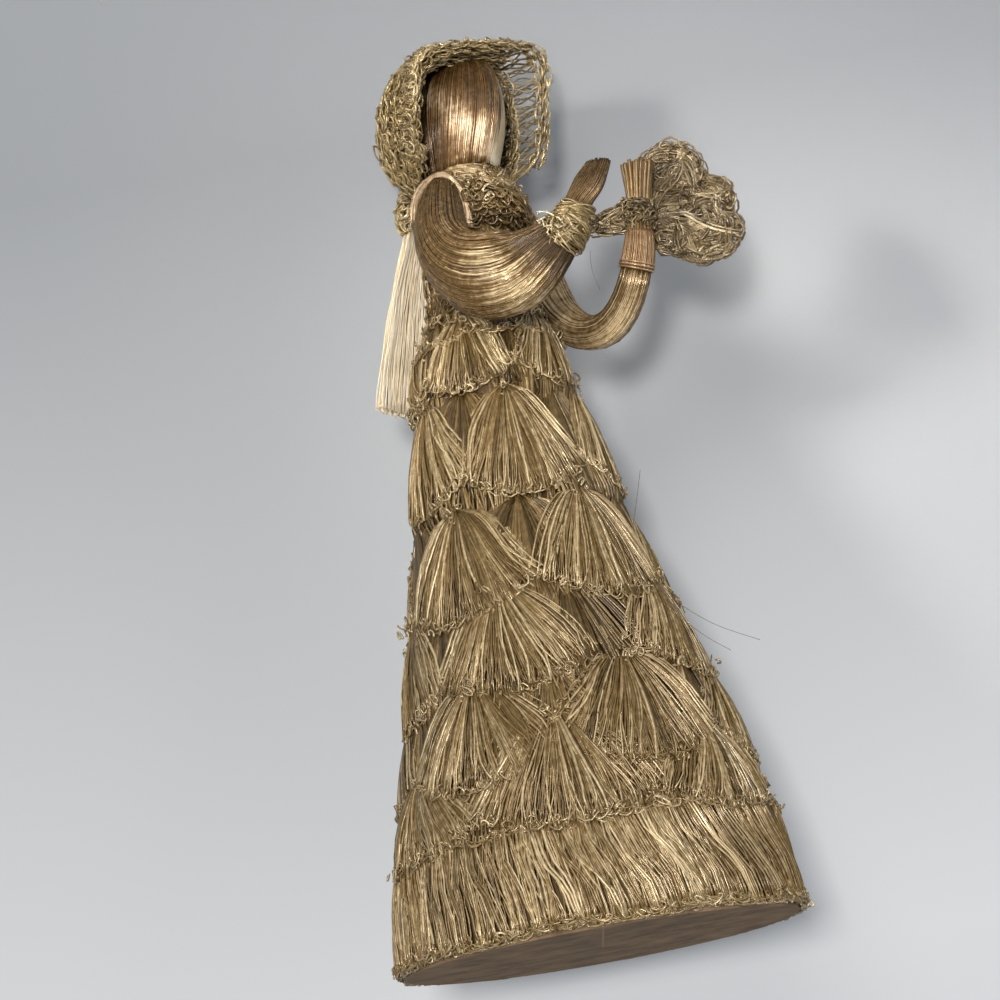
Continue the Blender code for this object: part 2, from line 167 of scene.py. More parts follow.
def from_bmesh(name, tool):
    """An object in the scene that takes over the mesh of a finished bmesh."""
    mesh = bpy.data.meshes.new(name)
    tool.to_mesh(mesh)
    tool.free()
    thing = bpy.data.objects.new(name, mesh)
    scene.collection.objects.link(thing)
    return thing


def stage_plane(name, middle, facing, paint):
    """A large square plane that faces one way and takes no part in lighting the doll."""
    tool = bmesh.new()
    bmesh.ops.create_grid(tool, x_segments=1, y_segments=1, size=STAGE_HALF_SIZE)
    turn = Vector((0.0, 0.0, 1.0)).rotation_difference(facing).to_matrix().to_4x4()
    bmesh.ops.transform(tool, matrix=Matrix.Translation(middle) @ turn, verts=tool.verts)
    thing = from_bmesh(name, tool)
    thing.data.materials.append(paint)
    thing.visible_diffuse = thing.visible_glossy = thing.visible_shadow = False


# Pale at her foot and darker at her head: painted light that falls off across the stage.
pale = one_sided("pale_table_paint", "d5d9de", "989ca1")
stage_plane("floor", Vector((0.0, 0.0, FLOOR_LEVEL)), Vector((0.0, 0.0, 1.0)), pale)
stage_plane("table", DOLL_MIDDLE - CAMERA_BACK * TABLE_BEHIND, CAMERA_BACK, pale)
print("stage is ready")

# %% [markdown]
# The light comes from above and a little left of the picture, as the soft shadows on the table
# show. A small light by the camera draws glints on every thread, a weaker one from the right
# keeps the far side from going flat, and a pale world fills the shadows. A narrow one rakes the
# upper body from the left, because combed fibre shines where it lies square to the light.

# %% Light
UPPER_BODY = Vector((-12.0, -25.0, 208.0)) * MM
# Name, way from its target to the picture's right, its top and the camera, distance and size in
# metres, watts, colour, target, and spread in degrees
LIGHTS = [
    ("key", (-0.3, 0.65, 1.0), 1.0, 0.35, 2.6, "fffaf2", DOLL_MIDDLE, 180.0),
    ("flash", (-0.12, 0.12, 1.0), 1.1, 0.12, 8.0, "fffaf4", DOLL_MIDDLE, 180.0),
    ("fill", (0.9, 0.5, 0.8), 1.2, 0.6, 2.1, "f8faff", DOLL_MIDDLE, 180.0),
    ("rake", (-0.7, 0.15, 0.7), 0.7, 0.16, 0.065, "fff8ec", UPPER_BODY, 16.0),
]
WORLD_STRENGTH = 0.4

for name, (right, up, back), distance, size, power, code, target, spread in LIGHTS:
    lamp = bpy.data.lights.new(name, "AREA")
    lamp.size = size
    lamp.energy = power
    lamp.color = linear(code)[:3]
    lamp.spread = math.radians(spread)
    thing = bpy.data.objects.new(name, lamp)
    way = (right * CAMERA_RIGHT + up * CAMERA_UP + back * CAMERA_BACK).normalized()
    thing.location = target + way * distance
    thing.rotation_mode = "QUATERNION"
    thing.rotation_quaternion = way.to_track_quat("Z", "Y")
    scene.collection.objects.link(thing)
world = bpy.data.worlds.new("studio")
world.use_nodes = True
world.node_tree.nodes["Background"].inputs["Color"].default_value = linear("eceef0")
world.node_tree.nodes["Background"].inputs["Strength"].default_value = WORLD_STRENGTH
scene.world = world

# %% [markdown]
# Every strand is a path of points with its own thickness. A curve object with a bevel profile
# turns all the paths of a piece into closed tubes at once, which is quicker and cleaner than
# modelling each thread. A thread is two or three pixels wide in the picture, so a section of
# three smoothly shaded sides is enough, and thousands of threads stay light. Each strand also
# gets a tone, kept as an attribute on its points, so that the material can colour every thread.

# %% Strands
TUBE_SIDES = 3
# A three-sided thread looks thinner than a round one of its radius, and this makes up for it
TUBE_GAIN = 1.12
RANDOM_SEED = 7
draw = random.Random(RANDOM_SEED)


def any_turn():
    """A random turn in radians, for a phase or a way."""
    return draw.uniform(0.0, 6.3)


def scatter(size):
    """A random step in space."""
    return Vector([draw.gauss(0.0, size) for axis in range(3)])


def finish_piece(thing, node, look):
    """Ride on the doll's one body, stand for a solid, and take a finish."""
    thing.data.materials.clear()
    thing.data.materials.append(look)
    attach(thing, "root")
    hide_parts(node)
    print(thing.name, sum(len(face.vertices) - 2 for face in thing.data.polygons), "triangles")


def thread_section():
    """The section of a thread: a small closed curve with a corner for each side."""
    section = bpy.data.curves.new("thread_section", "CURVE")
    corners = section.splines.new("POLY")
    corners.points.add(TUBE_SIDES - 1)
    corners.use_cyclic_u = True
    turns = [-2 * math.pi * side / TUBE_SIDES for side in range(TUBE_SIDES)]
    corners.points.foreach_set("co", [value for turn in turns for value in (
        TUBE_GAIN * math.cos(turn), TUBE_GAIN * math.sin(turn), 0.0, 1.0)])
    thing = bpy.data.objects.new("thread_section", section)
    scene.collection.objects.link(thing)
    return thing


def strand_mesh(name, strands):
    """One mesh of closed thin tubes. Each strand is (points, radius, tone), in metres.
    Radius and tone are one value each, or one for every point."""
    curve = bpy.data.curves.new(name, "CURVE")
    curve.dimensions = "3D"
    curve.bevel_mode = "OBJECT"
    curve.bevel_object = thread_section()
    for points, radius, tone in strands:
        spline = curve.splines.new("POLY")
        spline.points.add(len(points) - 1)
        spline.points.foreach_set("co", [value for point in points for value in (*point, 1.0)])
        spline.points.foreach_set("radius", np.broadcast_to(radius, len(points)).astype(np.float32))
    holder = bpy.data.objects.new(name + "_paths", curve)
    scene.collection.objects.link(holder)
    built = holder.evaluated_get(bpy.context.evaluated_depsgraph_get())
    mesh = bpy.data.meshes.new_from_object(built)
    bpy.data.curves.remove(curve.bevel_object.data)
    bpy.data.curves.remove(curve)
    tones = np.concatenate([np.repeat(np.broadcast_to(tone, len(points)), TUBE_SIDES)
                            for points, radius, tone in strands])
    mesh.attributes.new("tone", "FLOAT", "POINT")
    mesh.attributes["tone"].data.foreach_set("value", tones.astype(np.float32))
    tool = bmesh.new()
    tool.from_mesh(mesh)
    ends = [edge for edge in tool.edges if edge.is_boundary]
    bmesh.ops.holes_fill(tool, edges=ends, sides=TUBE_SIDES)
    tool.to_mesh(mesh)
    tool.free()
    mesh.shade_smooth()
    thing = bpy.data.objects.new(name, mesh)
    scene.collection.objects.link(thing)
    return thing


trial = strand_mesh("trial", [([Vector((0, 0, 0)), Vector((0, 0, MM))], MM, 0.5)])
print("points in a strand of two:", len(trial.data.vertices))
bpy.data.objects.remove(trial)

# %% [markdown]
# Under the strands lies a darker core, so that no daylight shows between threads and the gaps go brown.
# That dark is painted shade for the gaps. A core is a row of rings, bridged and capped.

# %% Core bodies
def core_body(name, rings):
    """A closed body through rings of points, by bridging one ring of edges to the next."""
    tool = bmesh.new()
    edge_loops = []
    for ring in rings:
        made = bmesh.ops.create_circle(tool, cap_ends=False, segments=len(ring), radius=1.0)
        for vert, place in zip(made["verts"], ring):
            vert.co = place
        edge_loops.append(list({edge for vert in made["verts"] for edge in vert.link_edges}))
    for lower, upper in zip(edge_loops, edge_loops[1:]):
        bmesh.ops.bridge_loops(tool, edges=lower + upper)
    for ring_edges in (edge_loops[0], edge_loops[-1]):
        bmesh.ops.contextual_create(tool, geom=ring_edges)
    bmesh.ops.recalc_face_normals(tool, faces=tool.faces)
    thing = from_bmesh(name, tool)
    # A tone of nought takes the dark end of the fibre's ramp, so a core shows as painted shade between
    # its threads.
    thing.data.attributes.new("tone", "FLOAT", "POINT")
    thing.data.shade_smooth()
    return thing


def between(values, place):
    """A smooth value through evenly spaced values, place running from 0 to 1."""
    spans = len(values) - 1
    span = min(int(place * spans), spans - 1)
    share = place * spans - span
    before, start = values[max(span - 1, 0)], values[span]
    end, after = values[span + 1], values[min(span + 2, spans)]
    square, cube = share * share, share * share * share
    return (start * (2 * cube - 3 * square + 1) + end * (3 * square - 2 * cube)
            + (end - before) * 0.5 * (cube - 2 * square + share)
            + (after - start) * 0.5 * (cube - square))


def row_at(table, place):
    """Every value of a table of rows at one place along it."""
    return [between(values, place) for values in zip(*table)]


print("half way through 0, 1, 0:", between([0.0, 1.0, 0.0], 0.5))

# %% [markdown]
# Raffia and abaca are split leaf fibres: satin, slightly translucent, straw gold, with browner
# threads among them. The colour ramp reads the strand's tone and a mottling of one or two
# millimetres. Roughness round 0.3 gives the silky glints, and a fine bump stands for the grain.
# Combed abaca is smoother and shines more, bleached raffia is pale and duller, split straw is nearly
# matt, and the tan wrap is a smooth dyed leaf. The fibre in shadow is painted shade: dark, with no
# gloss at all.

# %% Fibre materials
MOTTLE_SIZE = 1.6 * MM
GRAIN_SIZE = 0.35 * MM
# How much of the colour ramp the mottling takes a strand up and down
MOTTLE_SHARE = 0.7


def fibre(name, dark, middle, light, rough=0.28, coat=0.4, tinted=0.3):
    """Plant fibre whose strands run from a dark to a light hex colour. The tinted share of the
    gloss takes the colour of the fibre, as light that has passed through its skin does."""
    made, tree, output = new_material(name)
    place = add_node(tree, "ShaderNodeTexCoord")
    tone = add_node(tree, "ShaderNodeAttribute", {"attribute_name": "tone"})
    mottle = add_node(tree, "ShaderNodeTexNoise", None, {
        "Vector": place.outputs["Object"], "Scale": 1.0 / MOTTLE_SIZE, "Detail": 2.0})
    blend = add_node(tree, "ShaderNodeMath", {"operation": "MULTIPLY_ADD"}, {
        0: mottle.outputs["Fac"], 1: MOTTLE_SHARE, 2: -MOTTLE_SHARE / 2})
    shade = add_node(tree, "ShaderNodeMath", {"operation": "ADD", "use_clamp": True}, {
        0: tone.outputs["Fac"], 1: blend.outputs[0]})
    ramp = add_node(tree, "ShaderNodeValToRGB", None, {"Fac": shade.outputs[0]})
    ramp.color_ramp.elements[0].color = linear(dark)
    ramp.color_ramp.elements[1].color = linear(light)
    ramp.color_ramp.elements.new(0.5).color = linear(middle)
    grain = add_node(tree, "ShaderNodeTexNoise", None, {
        "Vector": place.outputs["Object"], "Scale": 1.0 / GRAIN_SIZE, "Detail": 1.0})
    rougher = add_node(tree, "ShaderNodeMapRange", None, {
        "Value": grain.outputs["Fac"], "To Min": rough - 0.08, "To Max": rough + 0.14})
    bump = add_node(tree, "ShaderNodeBump", None, {
        "Height": grain.outputs["Fac"], "Strength": 0.25, "Distance": 0.1 * MM})
    skin = add_node(tree, "ShaderNodeBsdfPrincipled", None, {
        "Base Color": ramp.outputs["Color"], "Roughness": rougher.outputs["Result"],
        "Normal": bump.outputs["Normal"], "Metallic": tinted, "Coat Weight": coat,
        "Coat Roughness": 0.2, "IOR": 1.6})
    tree.links.new(skin.outputs[0], output.inputs["Surface"])
    return made


DRESS_FIBRE = fibre("crocheted_raffia", "4e3c1a", "8a7145", "dfca9f")
# Dark matt fibre for the cores and linings: a painted shade.
PAINTED_SHADE_FIBRE = fibre("raffia_in_shadow", "4c3816", "5c4622", "6c5430", 0.8, 0.0, 0.0)
COMBED_FIBRE = fibre("combed_abaca", "4c3818", "8c6f42", "fbe4b8", 0.2, 0.4, 0.4)
HEAD_FIBRE = fibre("combed_abaca_pink", "503a1c", "8c6a3e", "fbe2bc", 0.2, 0.4, 0.4)
PALE_FIBRE = fibre("bleached_raffia", "c8b48e", "f0e0c0", "fcf4e0", 0.4, 0.2, 0.0)
BONNET_FIBRE = fibre("bonnet_raffia", "66522e", "a48e60", "f2e0b8")
HANKY_FIBRE = fibre("handkerchief_raffia", "4c3d26", "7f6d4c", "c9b792")
STRAW_FIBRE = fibre("split_straw", "5e4522", "8f7346", "ccb27e", 0.4, 0.1, 0.1)
WRAP_FIBRE = fibre("tan_wrap", "735332", "9c7850", "d8ba90", 0.25, 0.3, 0.4)
print("fibre materials made")

# %% [markdown]
# The dress is a plain cone up to the waist, with rows of shells on it. A shell is a fan of
# strands from one point to a scalloped foot, and it bulges outwards more towards its foot. The
# sizes are the solid's own, in doll millimetres.

# %% Form of the dress
WAIST_LEVEL = 172.0
WAIST_RADIUS = 20.3
HEM_TOP_LEVEL = 27.0
HEM_DRAW_IN = 0.09
WAIST_LEAN = 3.0
BODICE_TOP_LEVEL = 206.0
HEM_RADIUS = (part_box("dress")[1].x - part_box("dress")[0].x) / 2 / MM
# Rows of shells: level of the points, length, how many, turn of the first, half width in degrees
SHELL_ROWS = [
    (180.0, 25.0, 5, 204.0, 40.0),
    (155.0, 35.0, 5, 233.0, 41.0),
    (121.0, 34.0, 5, 183.0, 41.0),
    (94.0, 31.0, 6, 203.0, 35.0),
    (68.5, 30.0, 6, 186.0, 35.0),
    (49.5, 25.0, 6, 216.0, 34.0),
]
SHELL_RECESS = -1.5
SHELL_RISE = 2.8
CONE_HOLLOW = 1.3
# Turn, level and length that the hand of the maker added to single shells: by row and number
SHELL_SHIFTS = {(3, 1): (22.0, 1.0, 0.0), (5, 0): (1.0, 7.5, 7.0), (4, 1): (2.0, 2.0, 2.0)}
SHELL_SCALLOP = 0.3


def dress_radius(level):
    """Radius of the dress under its shells."""
    if level > WAIST_LEVEL:
        share = (level - WAIST_LEVEL) / (BODICE_TOP_LEVEL - WAIST_LEVEL)
        return between([WAIST_RADIUS, 17.0, 15.2, 14.6, 14.2], min(share, 1.0))
    top_of_hem = HEM_RADIUS - HEM_DRAW_IN * (HEM_RADIUS - WAIST_RADIUS)
    if level > HEM_TOP_LEVEL:
        share = (level - HEM_TOP_LEVEL) / (WAIST_LEVEL - HEM_TOP_LEVEL)
        hollow = CONE_HOLLOW * math.sin(math.pi * share)
        return top_of_hem + (WAIST_RADIUS - top_of_hem) * share - hollow
    share = max(level, 0.0) / HEM_TOP_LEVEL
    return HEM_RADIUS + (top_of_hem - HEM_RADIUS) * share * share


def on_dress(turn, level, lift=0.0):
    """A point on the dress at a turn in degrees and a level, lifted off its plain cone."""
    share = min(max(level / BODICE_TOP_LEVEL, 0.0), 1.0)
    lean = between([0.0, -0.3 * WAIST_LEAN, 0.55 * WAIST_LEAN, WAIST_LEAN, 0.2 * WAIST_LEAN], share)
    radius = dress_radius(level) + lift
    way = math.radians(turn)
    return Vector((radius * math.cos(way), lean + radius * math.sin(way), level)) * MM


print("hem radius in mm:", round(HEM_RADIUS, 2))

# %% [markdown]
# Every shell's place is settled once, with a little of the maker's unevenness, because the core, the
# strands and the edges all follow it. The core sinks under the shells, and its dark fibre is painted
# shade that shows as the brown of the gaps. It is built as rings, since a dress is nearly a solid of
# revolution.

# %% Dress core
CORE_SINK = 2.0
CORE_SEGMENTS = 120
# The bulge of a shell is a sine wave up to this angle, so it is fullest a little above its foot
BULGE_ANGLE = 2.35


def shell_rise(across, down):
    """How far a shell stands off the dress: most along its middle, a little above its foot."""
    bulge = SHELL_RISE * math.sin(BULGE_ANGLE * max(down, 0.0) ** 0.8)
    return bulge * max(1.0 - across * across, 0.0) ** 0.6


SHELLS = []
for row, (top, length, count, first, half) in enumerate(SHELL_ROWS):
    for number in range(count):
        shift = SHELL_SHIFTS.get((row, number), (draw.uniform(-4, 4), draw.uniform(-2, 2), 0.0))
        middle = first + number * 360.0 / count + shift[0]
        SHELLS.append((row, middle % 360.0, (top + shift[1], length + shift[2], count, first, half)))


def shell_height(turn, level):
    """How far the shells stand off the cone at a turn and a level."""
    height = SHELL_RECESS
    for number, middle, row in SHELLS:
        top, length, count, first, half = row
        off = (turn - middle + 180.0) % 360.0 - 180.0
        down = (top - level) / length
        if 0.0 < down < 1.0:
            across = min(abs(off) / (half * (0.1 + 0.9 * down ** 0.6)), 1.0)
            height = max(height, SHELL_RECESS + shell_rise(across, down))
    low = min(max((level - 0.8 * HEM_TOP_LEVEL) / 6.0, 0.0), 1.0)
    high = min(max((BODICE_TOP_LEVEL - level) / 20.0, 0.0), 1.0)
    return height * low * high


rings = []
for level in [0.4, 2.0, *range(6, 206, 4), 206]:
    turns = [360.0 * side / CORE_SEGMENTS for side in range(CORE_SEGMENTS)]
    rings.append([on_dress(turn, level, shell_height(turn, level) - CORE_SINK) for turn in turns])
finish_piece(core_body("dress_core", rings), "dress", PAINTED_SHADE_FIBRE)

# %% [markdown]
# The shells are laid row by row. Strands leave the point of a fan in all directions, the outer ones
# nearly level, and bend down to a rounded foot, like scales of a fish. Flatter fans lie between the
# proud ones, in a darker tone that is painted shade. Neighbours share a sway and a tone in small
# clumps, as damp raffia does, and each thread thins at its ends and darkens towards the fan's point, a
# painted shade where the point sits under the row above. A fan could also be one sheet with a striped
# bump, but its gaps and its frayed foot need real threads.

# %% Shell fans
STRAND_WIDTH = 0.5
CLUMP = 4
FAN_STEPS = 10
FAN_NECK = 0.05
# How proud the flat fans stand, and their share of the strands
FLAT_FAN = 0.25
FLAT_SHARE = 0.5
# How far strands are painted paler towards a shell's sides and darker along its middle: a painted
# highlight
SIDE_PAINTED_HIGHLIGHT = 0.35
# The turn that faces the camera, and the share of the strands on the side turned away from it
CAMERA_TURN = 220.0
FAR_SHARE = 0.6
# Where the strands with a painted highlight lie on a proud shell
SIDE_HIGHLIGHT_PLACES = (-0.97, -0.9, -0.84, 0.84, 0.9, 0.97)


def on_shell(row, middle, across, down, lift=0.0, proud=1.0):
    """A point on a shell: across runs from -1 to 1 and down from its point to its foot."""
    top, length, count, first, half = row
    level = top - length * (1.0 - SHELL_SCALLOP * across * across) * down
    spread = FAN_NECK + (1.0 - FAN_NECK) * down ** (0.85 - 0.42 * across * across)
    return on_dress(middle + half * across * spread, level,
                    SHELL_RECESS + proud * shell_rise(across, down) + lift)


def fan_strand(row, middle, across, lift, radius, tone, clump, proud):
    """One strand of a shell. A clump is the phase and sway that neighbours share."""
    phase, sway = clump
    stop = 1.0 - draw.random() ** 2 * 0.12
    points, widths, tones = [], [], []
    for step in range(FAN_STEPS + 1):
        down = step / FAN_STEPS
        wander = (sway * math.sin(phase + 5.0 * down) + draw.uniform(-0.011, 0.011)) * down
        points.append(on_shell(row, middle, across + wander, stop * down,
                               lift + draw.uniform(-0.12, 0.12), proud))
        widths.append(radius * MM * (0.55 + 0.45 * math.sin(math.pi * (0.1 + 0.8 * down))))
        # Darker towards the fan's point: painted shade under the row above.
        tones.append(tone - 0.2 * (1.0 - down) ** 3 + draw.uniform(-0.05, 0.05))
    return points, widths, tones


def shell_fan(row, middle, proud=1.0):
    """All the strands of one shell: an even layer, loose ones on top, and bright ones by its sides
    whose light tone is a painted highlight. Flat shells, and those on the far side from the camera, get
    fewer and thicker strands, and flat shells take a darker tone, a painted shade."""
    top, length, count, first, half = row
    share = 1.0 if proud == 1.0 else FLAT_SHARE
    if math.cos(math.radians(middle - CAMERA_TURN)) < -0.1:
        share *= FAR_SHARE
    number = int(2 * half * math.pi / 180 * dress_radius(top - length) / STRAND_WIDTH * share)
    thicker = share ** -0.7
    # Flat fans lie lower and take a darker tone: painted shade.
    base = 0.5 if proud == 1.0 else 0.3
    strands = []
    for place in range(number):
        if place % CLUMP == 0:
            clump = (any_turn(), draw.uniform(0.0, 0.05))
            clump_lift, clump_tone = draw.uniform(-0.45, 0.4), draw.gauss(base, 0.16)
        across = 2 * (place + draw.uniform(0.1, 0.9)) / number - 1
        # Paler towards the sides: a painted highlight.
        side_painted_highlight = SIDE_PAINTED_HIGHLIGHT * (abs(across) - 0.45)
        strands.append(fan_strand(row, middle, across, clump_lift + draw.uniform(-0.15, 0.15),
                                  draw.uniform(0.24, 0.38) * thicker,
                                  draw.gauss(clump_tone + side_painted_highlight, 0.1), clump, proud))
    for extra in range(number // 3 if proud == 1.0 else 0):
        clump = (any_turn(), draw.uniform(0.02, 0.1))
        strands.append(fan_strand(row, middle, draw.uniform(-0.9, 0.9), draw.uniform(0.3, 0.7),
                                  draw.uniform(0.22, 0.42), draw.gauss(0.62, 0.2), clump, proud))
    # The ones with a painted highlight sway as the last loose one does
    for side in SIDE_HIGHLIGHT_PLACES if proud == 1.0 else ():
        strands.append(fan_strand(row, middle, side, 0.7, draw.uniform(0.3, 0.45),
                                  draw.gauss(0.78, 0.1), clump, proud))
    return strands


for number in range(len(SHELL_ROWS)):
    strands = []
    for of_row, middle, row in SHELLS:
        if of_row == number:
            strands += shell_fan(row, middle)
            strands += shell_fan(row, middle + 180.0 / row[2], FLAT_FAN)
    thing = strand_mesh("shell_row_%d" % (number + 1), strands)
    finish_piece(thing, "dress", DRESS_FIBRE)

# %% [markdown]
# Between the shells the real dress shows long threads that run on beneath. One layer of them,
# from the hem band to the bodice, is enough to fill those gaps.

# %% Under layer of the dress
UNDER_STRANDS = 270
UNDER_STEPS = 34
strands = []
for place in range(UNDER_STRANDS):
    turn = 360.0 * (place + draw.random()) / UNDER_STRANDS
    phase = any_turn()
    points = []
    for step in range(UNDER_STEPS + 1):
        level = HEM_TOP_LEVEL + (BODICE_TOP_LEVEL - HEM_TOP_LEVEL) * step / UNDER_STEPS
        sway = turn + 4.0 * math.sin(phase + level / 9.0)
        points.append(on_dress(sway, level, shell_height(sway, level) - 0.8 + 0.3 * math.sin(phase)))
    strands.append((points, 0.5 * MM, draw.gauss(0.33, 0.16)))
finish_piece(strand_mesh("dress_under_layer", strands), "dress", DRESS_FIBRE)

# %% [markdown]
# Below the shells the hem is a band of nearly upright strands that bend like a soft S and fan
# out to the foot. It is laid in two full layers and a thin third, so that threads cross.

# %% Hem band
HEM_STEPS = 7
HEM_LAYERS = 3
strands = []
for layer in range(HEM_LAYERS):
    number = int(2 * math.pi * HEM_RADIUS / STRAND_WIDTH * (1.0 if layer < 2 else 0.4))
    for place in range(number):
        if place % CLUMP == 0:
            clump_lean, clump_tone = draw.gauss(0.0, 1.3), draw.gauss(0.0, 0.14)
            phase = any_turn()
        turn = 360.0 * (place + draw.random()) / number
        slant = 3.0 + 8.0 * max(math.sin(math.radians(turn - 205.0)), 0.0)
        lean = slant + clump_lean + draw.gauss(0.0, 0.8) + (4.0 if layer == 2 else 0.0)
        high = HEM_TOP_LEVEL + draw.uniform(-1.0, 4.5)
        low = draw.uniform(0.6, 1.6)
        points = []
        for step in range(HEM_STEPS + 1):
            down = step / HEM_STEPS
            bend = lean * (down - 0.09 * math.sin(2 * math.pi * down))
            bend += 0.35 * math.sin(phase + 14.0 * down)
            lift = 0.45 * layer - 0.45 + 0.3 * math.sin(phase + 4 * down)
            points.append(on_dress(turn + bend - slant / 2, high + (low - high) * down, lift))
        strands.append((points, draw.uniform(0.24, 0.38) * MM,
                        draw.gauss(0.42 + 0.1 * layer + clump_tone, 0.12)))
finish_piece(strand_mesh("hem_band", strands), "dress", DRESS_FIBRE)

# %% [markdown]
# Crochet edges run along the foot of every shell, up some of the sides, round the waist and
# round the hem. They need a few helpers: one spaces the points of a path evenly, one makes a
# single loose stitch, thrown over the edges for the rough hand of the real ones, and two say
# which way is outward. Modelled stitch by stitch the edges would take days, and a repeated
# stitch would show as a pattern, so they are drawn at random.

# %% Paths and loose stitches
def evenly(points, spacing):
    """The same path with points about a spacing apart."""
    lengths = [0.0]
    for start, end in zip(points, points[1:]):
        lengths.append(lengths[-1] + (end - start).length)
    number = max(int(lengths[-1] / spacing), 2)
    even = []
    for step in range(number + 1):
        reach = lengths[-1] * step / number
        span = min(max(np.searchsorted(lengths, reach) - 1, 0), len(points) - 2)
        share = (reach - lengths[span]) / max(lengths[span + 1] - lengths[span], 1e-9)
        even.append(points[span].lerp(points[span + 1], share))
    return even


LOOP_STEPS = 5


def loop(centre, outward, size, radius, tone):
    """A loose stitch: a small tilted ring of thread."""
    up = (outward + scatter(0.6) * 0.8).normalized()
    first = up.orthogonal().normalized()
    second = up.cross(first)
    start, long = any_turn(), draw.uniform(1.4, 2.8)
    points = []
    for step in range(LOOP_STEPS + 1):
        turn = start + 4.4 * step / LOOP_STEPS
        points.append(centre + (first * math.cos(turn) * long + second * math.sin(turn)) * size * MM)
    return points, radius * MM, tone


def from_axis(point):
    """Outward from the doll's upright axis."""
    return Vector((point.x, point.y - 0.001, 0.0)).normalized()


def from_point(centre):
    """A function that gives the outward direction from one middle."""
    return lambda point: (point - centre).normalized()


print("stitch helpers ready")

# %% [markdown]
# Crochet that covers a surface is a thread that keeps looping over itself. The path runs along
# a row, and each stitch swings forwards and back over it, so that neighbours interlock.

# %% Looped rows
STITCH_STEPS = 7


def drawn(value):
    """A value as it is, or one drawn from a range."""
    return draw.uniform(*value) if isinstance(value, tuple) else value


def looped_thread(points, away, pitch, size, radius, tone, mess):
    """A thread that loops along a path, with stitches of a pitch and a half height in mm."""
    path = evenly(points, pitch / STITCH_STEPS * MM)
    made = []
    start = any_turn()
    drift = Vector((0.0, 0.0, 0.0))
    for place, point in enumerate(path):
        ahead = (path[min(place + 1, len(path) - 1)] - path[max(place - 1, 0)]).normalized()
        outward = away(point)
        aside = ahead.cross(outward).normalized()
        turn = start + 2 * math.pi * place / STITCH_STEPS
        drift = drift * 0.85 + scatter(0.65 * mess)
        made.append(point + (aside * size * math.cos(turn) + ahead * 0.34 * pitch * math.sin(turn)
                             + outward * 0.4 * math.sin(turn * 0.5 + 1.0) + drift) * MM)
    return made, radius * MM, tone


def looped(points, away, pitch, size, radius, tone, mess=0.25, layers=1):
    """Looping threads along one path. Pitch, half height and radius are values or ranges in mm,
    and the tone is a value, or a mean and its scatter."""
    return [looped_thread(points, away, drawn(pitch), drawn(size), drawn(radius),
                          draw.gauss(*tone) if isinstance(tone, tuple) else tone, mess)
            for layer in range(layers)]


print("looped rows ready")

# %% [markdown]
# Each shell ends in a rough crocheted edge. Two looped threads follow its foot, loose stitches
# are thrown over them and over its point, and about one shell in three has an edge on a side.

# %% Shell edges
LOOPS_ON_EDGE = 26


def loose_loops(path, number, spread, size=0.7):
    """Single stitches thrown along a path, off it by about a spread in millimetres."""
    made = []
    for place in range(number):
        point = path[draw.randrange(len(path))] + scatter(spread * MM)
        made.append(loop(point, from_axis(point), draw.uniform(0.7, 1.3) * size,
                         draw.uniform(0.2, 0.34), draw.gauss(0.72, 0.2)))
    return made


strands = []
for number, middle, row in SHELLS:
    foot = [on_shell(row, middle, step / 12, 0.96, -0.2) for step in range(-12, 13)]
    strands += looped(foot, from_axis, (2.6, 4.4), (0.8, 1.5), 0.26, (0.68, 0.15), 0.6, 2)
    strands += loose_loops(foot, LOOPS_ON_EDGE, 0.7)
    strands += loose_loops([on_shell(row, middle, 0.0, 0.04, 0.6)], 10, 1.4, 0.7)
    if draw.random() < 0.3:
        side = draw.choice((-0.95, 0.95))
        path = [on_shell(row, middle, side, 0.06 + 0.94 * step / 12, 0.9) for step in range(13)]
        strands += looped(path, from_axis, (2.4, 3.2), 0.7, 0.24, 0.6, 0.5, 2)
finish_piece(strand_mesh("shell_edges", strands), "dress", DRESS_FIBRE)

# %% [markdown]
# Chains of stitches close the dress at its foot, above the hem band and at the waist. The foot
# must not dip under the surface that she stands on, so every point stays above it by more than
# the radius of a thread.

# %% Hem and waist chains
# Level and lift of each chain, in millimetres
CHAINS = ((1.4, -0.1), (2.6, 0.5), (27.5, 0.5), (171.0, 0.6))
LOOPS_ON_CHAIN = 135
LOWEST_POINT = 0.4 * MM
strands = []
for level, lift in CHAINS:
    ring = [on_dress(turn, max(level + 0.7 * math.sin(math.radians(turn * 9)), 1.0), lift)
            for turn in range(0, 364, 4)]
    strands += looped(ring, from_axis, (3.2, 4.6), (0.6, 1.0), 0.3, (0.55, 0.1), 0.35, 3)
    strands += loose_loops(ring, LOOPS_ON_CHAIN, 0.6)
strands = [([Vector((x, y, max(z, LOWEST_POINT))) for x, y, z in points], radius, tone)
           for points, radius, tone in strands]
finish_piece(strand_mesh("hem_and_waist_chains", strands), "dress", DRESS_FIBRE)

# %% [markdown]
# The card is plain board, cut round by hand, with a slit from its middle to the rim. A thin disc
# with a softly bevelled edge is enough for the shape. The board's look comes from pressed fibres,
# faint stains and no gloss, and the slit is a pale line in the material.

# %% Card
card_low, card_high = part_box("base_card")
card_radius = (card_high.x - card_low.x) / 2
SEAM_TURN = 221.0
SEAM_WIDTH = 0.5 * MM
STAIN_SIZE = 14 * MM
PULP_SIZE = 0.6 * MM
CARD_BEVEL = 0.3 * MM


